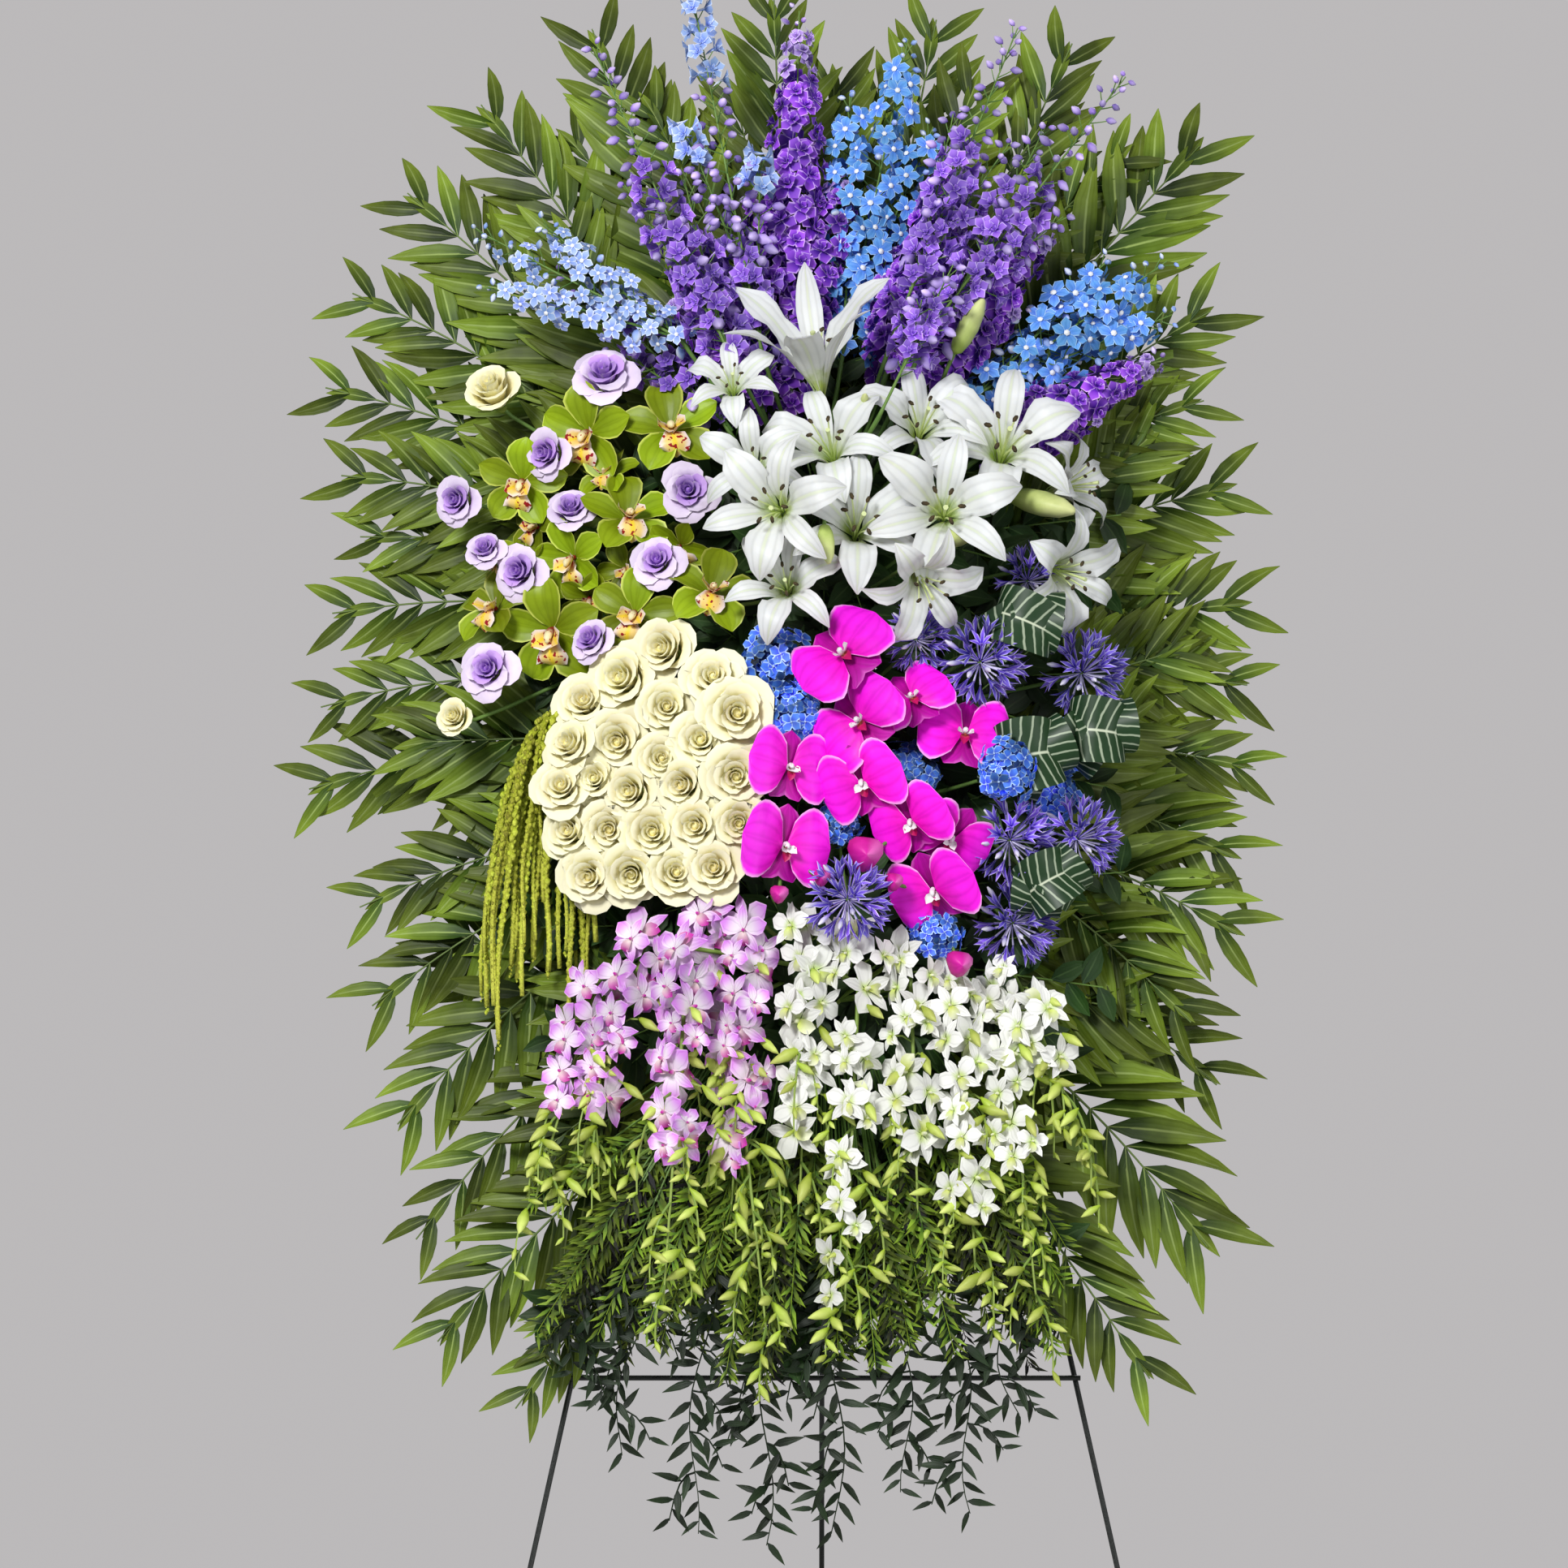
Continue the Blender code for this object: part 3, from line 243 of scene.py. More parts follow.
def barrel(rings, slot=0):
    """Body through rings of points, closed at both ends when a ring has an even number of them."""
    count, sides = rings.shape[:2]
    index = np.arange(count * sides).reshape(count, sides)
    ahead = np.roll(index, -1, axis=1)
    faces = [np.stack([index[:-1], ahead[:-1], ahead[1:], index[1:]], -1).reshape(-1, 4)]
    first, last = index[0], index[-1]
    for k in range(2, 2 * (sides // 2), 2):
        faces.append([[first[0], first[k + 1], first[k], first[k - 1]]])
        faces.append([[last[0], last[k - 1], last[k], last[k + 1]]])
    quads = np.concatenate(faces)
    along = np.repeat(np.linspace(0, 1, count), sides)
    around = np.tile(np.abs(np.linspace(-1, 1, sides)), count)
    shade = np.stack([along, around, 0 * along], -1)
    return Form(rings.reshape(-1, 3), quads, shade, np.full(len(quads), slot))


def tube(path, radii, sides=4, slot=0):
    """Stem along a path."""
    path = np.array(path, float)
    ahead = np.gradient(path, axis=0)
    side = np.cross(ahead[0], (0.31, 0.17, 0.94))
    turn = np.linspace(0, 2 * pi, sides, endpoint=False)
    rings = []
    for point, way, radius in zip(path, ahead, np.broadcast_to(radii, len(path))):
        way = unit(way)
        side = unit(side - way * side.dot(way))
        other = np.cross(way, side)
        rings.append(point + radius * (np.outer(np.cos(turn), side) + np.outer(np.sin(turn), other)))
    return barrel(np.array(rings), slot)


def lathe(profile, sides=8, lobes=0, depth=0.0, slot=0):
    """Turned body along +Z from (radius, height) pairs, lobed round its axis."""
    turn = np.linspace(0, 2 * pi, sides, endpoint=False)
    rings = []
    for radius, height in profile:
        reach = radius * (1 + depth * np.cos(lobes * turn))
        rings.append(np.stack([reach * np.cos(turn), reach * np.sin(turn), np.full(sides, height)], -1))
    return barrel(np.array(rings), slot)


def placed(form, turn=None, centre=(0, 0, 0), tone=0.0, slot=None):
    points = form.points if turn is None else form.points @ turn.T
    slots = form.slot if slot is None else np.full(len(form.slot), slot)
    return Form(points + np.asarray(centre, float), form.quads, form.shade + (0, 0, tone), slots)


def joined(forms):
    starts = np.cumsum([0] + [len(f.points) for f in forms[:-1]])
    rows = [(f.points, f.quads + start, f.shade, f.slot) for f, start in zip(forms, starts)]
    return Form(*(np.concatenate(column) for column in zip(*rows)))


def whorl(petal, count, draw, start=pi / 2, tilt=0.0, loose=0.06):
    """Petals round the axis, each a little different."""
    forms = []
    for k in range(count):
        angle = start + 2 * pi * k / count + jitter(draw, loose)
        lift = tilt + jitter(draw, loose) * 1.5
        forms.append(placed(petal, turned(angle, lift, jitter(draw, loose)), tone=jitter(draw, 0.4)))
    return joined(forms)


def added(name, data):
    obj = bpy.data.objects.new(name, data)
    bpy.context.scene.collection.objects.link(obj)
    return obj


def piece(name, forms, paints, slot, *nodes, crease=70):
    """Object of the forms, set on the stand, that stands for the nodes and moves with the spray."""
    form = joined(forms)
    mesh = bpy.data.meshes.new(name)
    mesh.vertices.add(len(form.points))
    mesh.vertices.foreach_set("co", (form.points @ LEANING.T + STAND).astype(np.float32).ravel())
    mesh.loops.add(form.quads.size)
    mesh.loops.foreach_set("vertex_index", form.quads.astype(np.int32).ravel())
    mesh.polygons.add(len(form.quads))
    mesh.polygons.foreach_set("loop_start", np.arange(0, form.quads.size, 4, dtype=np.int32))
    mesh.polygons.foreach_set("material_index", form.slot.astype(np.int32))
    mesh.update(calc_edges=True)
    shade = mesh.attributes.new("shade", "FLOAT_VECTOR", "POINT")
    shade.data.foreach_set("vector", form.shade.astype(np.float32).ravel())
    mesh.shade_smooth()
    mesh.set_sharp_from_angle(angle=radians(crease))
    for paint_of_slot in paints:
        mesh.materials.append(paint_of_slot)
    obj = added(name, mesh)
    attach(obj, "spray")
    if nodes:
        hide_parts(*nodes)


# Materials

def wired(tree, kind, inputs=(), **settings):
    """New node with its settings, and its inputs given as values or as other nodes' outputs."""
    node = tree.nodes.new(kind)
    for key, value in settings.items():
        setattr(node, key, value)
    for place, value in dict(inputs).items():
        if isinstance(value, bpy.types.NodeSocket):
            tree.links.new(value, node.inputs[place])
        else:
            node.inputs[place].default_value = value
    return node


def maths(tree, operation, a, b=0.0, c=0.0):
    return wired(tree, "ShaderNodeMath", {0: a, 1: b, 2: c}, operation=operation).outputs[0]


def between(tree, value, low, high):
    """The value's share of the way from low to high, smoothed and held at both ends."""
    places = {0: value, 1: low, 2: high, 3: 0.0, 4: 1.0}
    return wired(tree, "ShaderNodeMapRange", places, interpolation_type="SMOOTHSTEP").outputs[0]


def mixed(tree, factor, a, b):
    """Colour mixed from two, each an RGB triple or a socket."""
    colours = [c if isinstance(c, bpy.types.NodeSocket) else (*c, 1.0) for c in (a, b)]
    places = {0: factor, 6: colours[0], 7: colours[1]}
    return wired(tree, "ShaderNodeMix", places, data_type="RGBA").outputs[2]


def noise_at(tree, place, scale, detail):
    return wired(tree, "ShaderNodeTexNoise", {"Vector": place, "Scale": scale, "Detail": detail}).outputs[0]


def fresh(name, sockets):
    """New material, its tree and its shader, with the constants set on the shader's sockets."""
    material = bpy.data.materials.new(name)
    material.use_nodes = True
    tree = material.node_tree
    shader = tree.nodes["Principled BSDF"]
    for key, value in sockets.items():
        shader.inputs[key].default_value = value
    return material, tree, shader


def coated(tree, shader, colour, strength, depth, height):
    """Colour and relief into the shader."""
    tree.links.new(colour, shader.inputs["Base Color"])
    bump = wired(tree, "ShaderNodeBump", {"Strength": strength, "Distance": depth, "Height": height})
    tree.links.new(bump.outputs[0], shader.inputs["Normal"])


def paint(name, base, tip, rim=None, rim_from=0.6, midrib=None, bars=None, spots=None, spot_size=260.0,
          spot_share=0.56, veins=0, turn_from=0.0, turn_to=1.0, mottle=0.25, grain=70.0, rough=0.5,
          relief=0.25, spread=0.16, gloss=0.3, rib=0.16, glow=0.0):
    """Petal or leaf finish: colour from base to tip, rim and midrib, veins, spots and mottling."""
    material, tree, shader = fresh(name, {
        "Roughness": rough, "Specular IOR Level": gloss, "Subsurface Weight": glow,
        "Subsurface Radius": (1.0, 0.8, 0.5), "Subsurface Scale": 0.006,
    })
    shade = wired(tree, "ShaderNodeAttribute", attribute_name="shade").outputs["Vector"]
    along, across, tone = wired(tree, "ShaderNodeSeparateXYZ", {0: shade}).outputs
    place = wired(tree, "ShaderNodeTexCoord").outputs["Object"]
    noise = noise_at(tree, place, grain, 3.0)
    shifted = maths(tree, "MULTIPLY_ADD", noise, 0.3, maths(tree, "SUBTRACT", along, 0.15))
    colour = mixed(tree, between(tree, shifted, turn_from, turn_to), base, tip)
    height = noise
    if veins:
        lines = maths(tree, "SINE", maths(tree, "MULTIPLY_ADD", across, veins * pi, noise))
        lines = maths(tree, "MULTIPLY_ADD", lines, 0.5, 0.5)
        darker = {"Value": 0.72, "Saturation": 1.1, "Color": colour}
        dark = wired(tree, "ShaderNodeHueSaturation", darker).outputs[0]
        colour = mixed(tree, maths(tree, "MULTIPLY", maths(tree, "POWER", lines, 3.0), 0.5), colour, dark)
        height = maths(tree, "MULTIPLY_ADD", lines, -0.6, noise)
    if rim is not None:
        colour = mixed(tree, between(tree, across, rim_from, 1.0), colour, rim)
    if bars is not None:
        lines = maths(tree, "MULTIPLY_ADD", across, -7.0, maths(tree, "MULTIPLY", along, 88.0))
        lines = maths(tree, "SINE", maths(tree, "MULTIPLY_ADD", noise, 5.0, lines))
        colour = mixed(tree, between(tree, lines, 0.62, 0.98), colour, bars)
    if midrib is not None:
        colour = mixed(tree, between(tree, across, rib, rib / 8), colour, midrib)
    if spots is not None:
        blots = noise_at(tree, place, spot_size, 1.0)
        colour = mixed(tree, between(tree, blots, spot_share, spot_share + 0.04), colour, spots)
    value = maths(tree, "MULTIPLY_ADD", tone, spread, 1.0)
    value = maths(tree, "MULTIPLY_ADD", maths(tree, "SUBTRACT", noise, 0.5), mottle, value)
    hue = maths(tree, "MULTIPLY_ADD", tone, 0.012, 0.5)
    final = wired(tree, "ShaderNodeHueSaturation", {"Hue": hue, "Value": value, "Color": colour}).outputs[0]
    coated(tree, shader, final, relief, 0.0008, height)
    return material


def stuff(name, dark, light, grain, rough, relief, depth=0.001):
    """Finish of a made part: grain in colour and relief."""
    material, tree, shader = fresh(name, {"Roughness": rough})
    noise = noise_at(tree, wired(tree, "ShaderNodeTexCoord").outputs["Object"], grain, 5.0)
    coated(tree, shader, mixed(tree, between(tree, noise, 0.35, 0.65), dark, light), relief, depth, noise)
    return material


WIRE = stuff("wire enamel", (0.002, 0.004, 0.003), (0.005, 0.008, 0.006), 300, 0.45, 0.3)
PLASTIC = stuff("cage green", (0.010, 0.055, 0.022), (0.018, 0.085, 0.036), 180, 0.5, 0.2)
FOAM = stuff("wet foam", (0.006, 0.045, 0.020), (0.014, 0.085, 0.036), 900, 0.95, 0.9, depth=0.002)
STEM = paint("stem green", (0.07, 0.16, 0.03), (0.16, 0.28, 0.06))
PALE_STEM = paint("young stem", (0.20, 0.32, 0.06), (0.38, 0.50, 0.12))
# Leaflets darker towards the rib and lighter towards the tip; the light tip colour is painted sheen on the
# green.
PALM = paint("palm leaflet", (0.018, 0.046, 0.003), (0.180, 0.250, 0.025), midrib=(0.23, 0.30, 0.08),
             veins=5, spread=1.0, mottle=0.9, grain=26, gloss=0.25)
RIB = paint("palm rib", (0.05, 0.11, 0.02), (0.15, 0.22, 0.06), rough=0.45)
# Near-black green: the twigs' own dark green, deepened into painted shade in the gaps between the flowers.
FILLER = paint("filler leaf, painted shade dark", (0.008, 0.026, 0.004), (0.022, 0.058, 0.008), midrib=(0.04, 0.08, 0.02),
               veins=4, rough=0.55, spread=0.6)
RUSCUS = paint("ruscus leaf", (0.005, 0.013, 0.004), (0.016, 0.032, 0.010), veins=4, spread=0.6)
FERN = paint("fern green", (0.022, 0.055, 0.004), (0.17, 0.24, 0.015), rough=0.6, spread=0.9, mottle=0.8)
STRIPED = paint("striped leaf", (0.010, 0.034, 0.012), (0.020, 0.056, 0.018), midrib=(0.62, 0.68, 0.50),
                bars=(0.36, 0.43, 0.30), rough=0.4, grain=30, rib=0.06)
STOCK = paint("stock petal", (0.075, 0.008, 0.36), (0.28, 0.07, 0.66), rim=(0.66, 0.42, 0.92),
              rim_from=0.65, spread=0.5, rough=0.6)
STOCK_PALE = paint("stock bud", (0.22, 0.11, 0.48), (0.52, 0.36, 0.80), rim=(0.76, 0.66, 0.94), rough=0.6,
                   spread=0.3)
LARKSPUR = paint("larkspur petal", (0.14, 0.045, 0.46), (0.34, 0.17, 0.74), rim=(0.64, 0.48, 0.93),
                 rim_from=0.7, rough=0.55, spread=0.45)
LARKSPUR_BUD = paint("larkspur bud", (0.26, 0.16, 0.58), (0.62, 0.50, 0.88), rough=0.55, spread=0.5)
SKY = paint("sky petal", (0.10, 0.26, 0.82), (0.16, 0.42, 0.92), rim=(0.42, 0.66, 0.97), rim_from=0.7,
            veins=3, rough=0.55, spread=0.3)
SKY_PALE = paint("pale sky petal", (0.20, 0.32, 0.78), (0.40, 0.54, 0.92), rim=(0.78, 0.85, 0.99),
                 rough=0.55, spread=0.3)
SKY_EYE = paint("sky flower eye", (0.72, 0.78, 0.80), (0.90, 0.92, 0.95), rough=0.6)
LILY = paint("lily petal", (0.42, 0.56, 0.10), (0.80, 0.81, 0.79), veins=4, turn_from=0.02, turn_to=0.30,
             midrib=(0.70, 0.75, 0.58), rough=0.45, spread=0.06, mottle=0.08, glow=0.2)
LILY_THREAD = paint("lily filament", (0.50, 0.62, 0.16), (0.66, 0.74, 0.36))
ANTHER = paint("lily anther", (0.030, 0.022, 0.010), (0.08, 0.055, 0.02), rough=0.7)
LILY_BUD = paint("lily bud", (0.36, 0.52, 0.07), (0.74, 0.78, 0.36), rough=0.45, spread=0.2)
LIME = paint("cymbidium petal", (0.20, 0.29, 0.006), (0.29, 0.40, 0.008), rim=(0.62, 0.70, 0.12),
             rim_from=0.82, veins=5, rough=0.42, spread=0.45)
LIP = paint("cymbidium lip", (0.42, 0.03, 0.02), (0.92, 0.66, 0.20), rim=(0.93, 0.78, 0.74), rim_from=0.45,
            spots=(0.36, 0.010, 0.015), rough=0.45, spot_size=170.0, spot_share=0.60, turn_from=0.10,
            turn_to=0.42, midrib=(0.94, 0.68, 0.04), rib=0.30)
COLUMN = paint("orchid column", (0.30, 0.012, 0.014), (0.88, 0.78, 0.46), spots=(0.42, 0.02, 0.02),
               spot_share=0.60, rough=0.4, turn_from=0.15, turn_to=0.7)
LILAC = paint("lilac rose petal", (0.30, 0.13, 0.58), (0.58, 0.36, 0.80), rim=(0.86, 0.74, 0.92),
              rim_from=0.7, rough=0.55, spread=0.25)
LILAC_OUTER = paint("lilac outer petal", (0.60, 0.42, 0.78), (0.82, 0.70, 0.88), rim=(0.90, 0.84, 0.92),
                    rough=0.55)
SEPAL = paint("green sepal", (0.16, 0.26, 0.04), (0.30, 0.40, 0.08))
CREAM = paint("cream rose petal", (0.98, 0.88, 0.42), (0.99, 0.95, 0.68), rim=(0.99, 0.98, 0.86),
              rim_from=0.7, rough=0.55, spread=0.05, mottle=0.05)
MAGENTA = paint("moth orchid petal", (0.84, 0.004, 0.54), (0.97, 0.012, 0.82), rim=(0.96, 0.42, 0.88),
                rim_from=0.88, veins=6, rough=0.42, spread=0.25, mottle=0.35, turn_to=0.6)
# Sepal magenta, painted darker than the wings as the shade behind them.
MAGENTA_SHADED_SEPAL = paint("moth orchid sepal, painted shade", (0.42, 0.001, 0.22), (0.68, 0.003, 0.46), rim=(0.84, 0.12, 0.62),
                     veins=6, rough=0.45, spread=0.3, gloss=0.2)
MOTH_LIP = paint("moth orchid lip", (0.78, 0.28, 0.06), (0.52, 0.004, 0.12), rough=0.4, turn_to=0.6)
MOTH_EYE = paint("moth orchid eye", (0.86, 0.80, 0.84), (0.90, 0.86, 0.88), spots=(0.62, 0.05, 0.30),
                 rough=0.4, spot_share=0.64)
MOTH_BUD = paint("moth orchid bud", (0.34, 0.004, 0.05), (0.74, 0.02, 0.40), rim=(0.86, 0.16, 0.56),
                 veins=3, rough=0.45, spread=0.4)
HYDRANGEA = paint("hydrangea floret", (0.04, 0.10, 0.64), (0.08, 0.25, 0.90), rim=(0.46, 0.68, 0.98),
                  rim_from=0.6, rough=0.55, spread=0.8, mottle=0.8, grain=110)
HYDRANGEA_EYE = paint("hydrangea eye", (0.26, 0.42, 0.86), (0.46, 0.62, 0.93), rough=0.6)
# Dark blue of the hydrangea's core: painted shade in the gaps between the florets.
HYDRANGEA_SHADE_CORE = paint("hydrangea painted shade core", (0.010, 0.03, 0.20), (0.02, 0.05, 0.30), rough=0.8)
AGAPANTHUS = paint("agapanthus floret", (0.08, 0.03, 0.50), (0.28, 0.18, 0.86), rim=(0.78, 0.74, 0.98),
                   midrib=(0.09, 0.04, 0.48), spread=0.45)
AGAPANTHUS_TIP = paint("agapanthus bud", (0.28, 0.18, 0.80), (0.86, 0.84, 0.96))
AMARANTH = paint("amaranth bead", (0.34, 0.38, 0.020), (0.60, 0.62, 0.080), rough=0.85, spread=0.40,
                 mottle=1.2, grain=420, relief=0.9)
PINK = paint("pink dendrobium", (0.92, 0.82, 0.92), (0.70, 0.24, 0.82), rim=(0.92, 0.62, 0.93),
             rim_from=0.8, veins=4, turn_from=0.22, turn_to=0.92, rough=0.45, spread=0.30)
PINK_LIP = paint("pink dendrobium lip", (0.82, 0.70, 0.66), (0.62, 0.03, 0.42), rough=0.45)
PEARL = paint("white dendrobium", (0.62, 0.76, 0.26), (0.90, 0.90, 0.86), veins=4, turn_to=0.36,
              rough=0.45, spread=0.16, mottle=0.2)
PEARL_LIP = paint("white dendrobium lip", (0.62, 0.72, 0.12), (0.82, 0.84, 0.62), rough=0.45)
BUD = paint("dendrobium bud", (0.36, 0.50, 0.03), (0.68, 0.76, 0.20), rough=0.45, spread=0.35)


# Camera, light and floor

def camera():
    across = STAND[0] + (PICTURE / 2 - AXIS_COLUMN) * PIXEL
    middle = Vector((across, SUBJECT_DEPTH, (FLOOR_ROW - PICTURE / 2) * PIXEL))
    lens = bpy.data.cameras.new("camera")
    lens.sensor_width = SENSOR
    lens.lens = SENSOR * CAMERA_DISTANCE / (PICTURE * PIXEL)
    lens.clip_end = 60
    eye = added("camera", lens)
    eye.location = middle - Vector((0, CAMERA_DISTANCE, 0))
    eye.rotation_euler = (pi / 2, 0, 0)
    bpy.context.scene.camera = eye


def soft_light(name, place, power, size):
    light = bpy.data.lights.new(name, "AREA")
    light.energy = power
    light.size = size
    lamp = added(name, light)
    lamp.location = place
    lamp.rotation_euler = (Vector((0, 0, 1.0)) - Vector(place)).to_track_quat("-Z", "Y").to_euler()


def surroundings():
    """Pale grey behind, soft white light round the object."""
    world = bpy.data.worlds.new("studio")
    bpy.context.scene.world = world
    world.use_nodes = True
    tree = world.node_tree
    tree.nodes.clear()
    grey = {"Color": (0.502, 0.488, 0.493, 1), "Strength": 1.0}
    white = {"Color": (0.95, 0.97, 1.0, 1), "Strength": 0.28}
    seen = wired(tree, "ShaderNodeBackground", grey).outputs[0]
    lit = wired(tree, "ShaderNodeBackground", white).outputs[0]
    ray = wired(tree, "ShaderNodeLightPath").outputs["Is Camera Ray"]
    mix = wired(tree, "ShaderNodeMixShader", {0: ray, 1: lit, 2: seen}).outputs[0]
    wired(tree, "ShaderNodeOutputWorld", {0: mix})
    soft_light("key", (-1.8, -4.4, 3.4), 212, 1.2)
    soft_light("fill", (3.0, -4.0, 1.6), 60, 2.4)
    soft_light("back", (1.5, 3.5, 3.5), 90, 2.0)
    bpy.context.scene.view_settings.view_transform = "Standard"


def floor():
    """Pale round floor under the easel."""
    count = FLOOR_SIDES
    turn = np.linspace(0, 2 * pi, count, endpoint=False)
    points = [(FLOOR_RADIUS * cos(a), FLOOR_RADIUS * sin(a), z) for z in (-0.02, 0.0) for a in turn]
    faces = [(k, (k + 1) % count, count + (k + 1) % count, count + k) for k in range(count)]
    faces += [tuple(range(count, 2 * count)), tuple(range(count - 1, -1, -1))]
    mesh = bpy.data.meshes.new("floor")
    mesh.from_pydata(points, [], faces)
    mesh.materials.append(stuff("pale floor", (0.55, 0.54, 0.53), (0.60, 0.59, 0.58), 6, 0.8, 0.05))
    obj = added("floor", mesh)


# Carried-over parts of the frame

def made_parts():
    """Finishes of the easel, the cage and the foam, which keep their shape."""
    for name, obj in frame["nodes"].items():
        for kind, finish in (("easel", WIRE), ("foam_cage", PLASTIC), ("foam_brick", FOAM)):
            if name.startswith(kind):
                obj.material_slots[0].material = finish


# Palm fronds
# Each row: node name, then (root, tip column, tip row, sag, reach) of its fronds

FRONDS = (
    ("palm_left_11", ((1322, 668, 1690, 0.00, 0.10), (None, 575, 1610, 0.05, 0.12))),
    ("palm_left_10", ((1180, 545, 1480, 0.05, 0.11),)),
    ("palm_left_09", ((1060, 525, 1340, 0.05, 0.13),)),
    ("palm_left_08", ((1010, 500, 1200, 0.05, 0.12), (None, 490, 1090, 0.04, 0.11))),
    ("palm_left_07", ((950, 425, 945, 0.05, 0.13),)),
    ("palm_left_06", ((870, 440, 845, 0.05, 0.11),)),
    ("palm_left_05", ((775, 455, 735, 0.03, 0.12), (None, 490, 650, 0.04, 0.11))),
    ("palm_left_04", ((725, 465, 575, 0.03, 0.12),)),
    ("palm_left_03", ((675, 440, 468, 0.02, 0.12), (None, 470, 360, 0.03, 0.12))),
    ("palm_left_02", ((610, 530, 245, -0.01, 0.13),)),
    ("palm_left_01", ((570, 615, 140, -0.01, 0.13), (None, 742, 50, -0.01, 0.13))),
    ("palm_top_01", ((-0.038, 955, 10, 0.0, 0.13),)),
    ("palm_top_02", ((0.038, 1150, 35, 0.0, 0.13),)),
    ("palm_right_01", ((565, 1310, 65, -0.01, 0.13),)),
    ("palm_right_02", ((610, 1455, 190, 0.0, 0.15),)),
    ("palm_right_03", ((675, 1455, 395, 0.02, 0.13), (None, 1440, 500, 0.02, 0.11))),
    ("palm_right_04", ((775, 1475, 600, 0.03, 0.13),)),
    ("palm_right_05", ((860, 1490, 740, 0.03, 0.13), (None, 1490, 830, 0.03, 0.12))),
    ("palm_right_06", ((930, 1500, 930, 0.03, 0.11), (None, 1475, 1030, 0.03, 0.13))),
    ("palm_right_07", ((1010, 1480, 1120, 0.04, 0.13), (None, 1430, 1220, 0.05, 0.12))),
    ("palm_right_08", ((1130, 1460, 1300, 0.05, 0.12),)),
    ("palm_right_09", ((1200, 1455, 1490, 0.07, 0.15),)),
    ("palm_right_10", ((1310, 1385, 1650, 0.04, 0.12),)),
)
LEAFLETS = 20
LEAFLET_HALF = 0.0124


def bowed(points):
    """The fronds' common curve: back at the sides and at the top."""
    side = np.clip(np.abs(points[:, 0]) - 0.20, 0, None) / 0.33
    top = np.clip(points[:, 2] - 1.50, 0, None) / 0.40
    return points + np.stack([0 * side, 0.05 * side**2 + 0.05 * top**2, 0 * side], -1)


def frond_form(path, reach, draw, leaflets, pairs=LEAFLETS):
    """Rib with folded leaflets on each side, and one at its end."""
    forms = [tube(path, np.linspace(0.0032, 0.0009, len(path)), 6, slot=1)]
    ahead = np.gradient(path, axis=0)
    for k in range(pairs):
        share = k / (pairs - 1)
        place = (0.16 + 0.82 * share) * (len(path) - 1)
        n = int(place)
        here = path[n] + (path[min(n + 1, len(path) - 1)] - path[n]) * (place - n)
        way = unit(ahead[n])
        side = unit((-way[2], 0, way[0]))
        for sign in (1, -1):
            turn = radians(62 - 28 * share + jitter(draw, 8))
            bulge = 0.60 + 0.80 * share * 0.9 - 0.95 * (share * 0.9) ** 2
            length = reach * bulge * draw.uniform(0.94, 1.06)
            length *= 1.06 + 0.24 * sin(pi * share) + 0.12 * share**3
            heading = way * cos(turn) + side * sign * sin(turn)
            heading = heading + FORWARD * jitter(draw, 0.10)
            facing = FORWARD + side * sign * draw.uniform(-0.1, 0.5) + np.array([0, 0, jitter(draw, 0.3)])
            leaflet = leaflets[draw.randrange(len(leaflets) // 2) * 2 + (sign > 0)]
            forms.append(placed(leaflet, pointed_at(heading, facing, length), here, jitter(draw, 0.5)))
    forms.append(placed(leaflets[0], pointed_at(ahead[-1], FORWARD, reach * 0.55), path[-2], 0.1))
    return forms


def frond_choices(lead, start, way_out, tip, sag, second):
    """The paths that a frond's solid may have, with the mark of its tip."""
    t = np.linspace(0, 0.98, 24)
    choices = []
    for n in range(20):
        middle = start + (tip - start) * 0.55 + np.array([0, 0, sag + 0.004 * n * (-1) ** n])
        path = bezier([start, start + way_out * 0.05, middle, tip], t)
        path = np.concatenate([path, [tip + unit(tip - middle) * 0.05]])
        if second:
            path[1:] += FORWARD * FROND_OFFSET
        path = bowed(np.concatenate([lead, path]) if len(lead) else path)
        choices.append((path[-1:], path))
    return choices


def leaflet_forms():
    """Left and right leaflets, four of each."""
    variants = random.Random(5)
    leaflets = []
    for n in range(4):
        bend = variants.uniform(0.02, 0.09)
        droop = variants.uniform(0.02, 0.14)
        for sign in (1, -1):
            spine = [(0, 0), (0.35, 0.05), (0.7, 0.02), (1, -droop)]
            leaflets.append(blade(spine, LEAFLET_HALF / 0.115, 0.42, 6, 3, fold=0.35, sickle=sign * bend,
                                  stub=0.04, thick=0.005))
    return leaflets


def palm_fronds(leaflets):
    for count, (name, fronds) in enumerate(FRONDS):
        layer = FROND_LAYERS[count % len(FROND_LAYERS)]
        cloud = cloud_of(name)
        draw = random.Random(name)
        forms = []
        for where, column, row, sag, reach in fronds:
            lead = []
            if where is None:
                start = start + FORWARD * 0.0004
            else:
                if "top" in name:
                    mouth = np.array([where, -layer, FOAM_TOP])
                    way_out = np.array([0, 0, 1.0])
                else:
                    side = -1.0 if "left" in name else 1.0
                    mouth = np.array([side * BRICK_HALF_WIDTH, -layer, at(0, where, layer)[2]])
                    way_out = np.array([side, 0, 0])
                start = mouth + way_out * 0.007
                lead = [mouth - way_out * HOLE_DEPTH]
            tip = at(column, row, layer)
            path = best(cloud, frond_choices(lead, start, way_out, tip, sag, where is None))
            forms += frond_form(path, reach, draw, leaflets)
        piece(name + "_frond", forms, [PALM, RIB], "palm_green", name)


FILLER_FRONDS = 54
FILLER_LAYERS = (0.034, 0.047, 0.061, 0.075, 0.088)
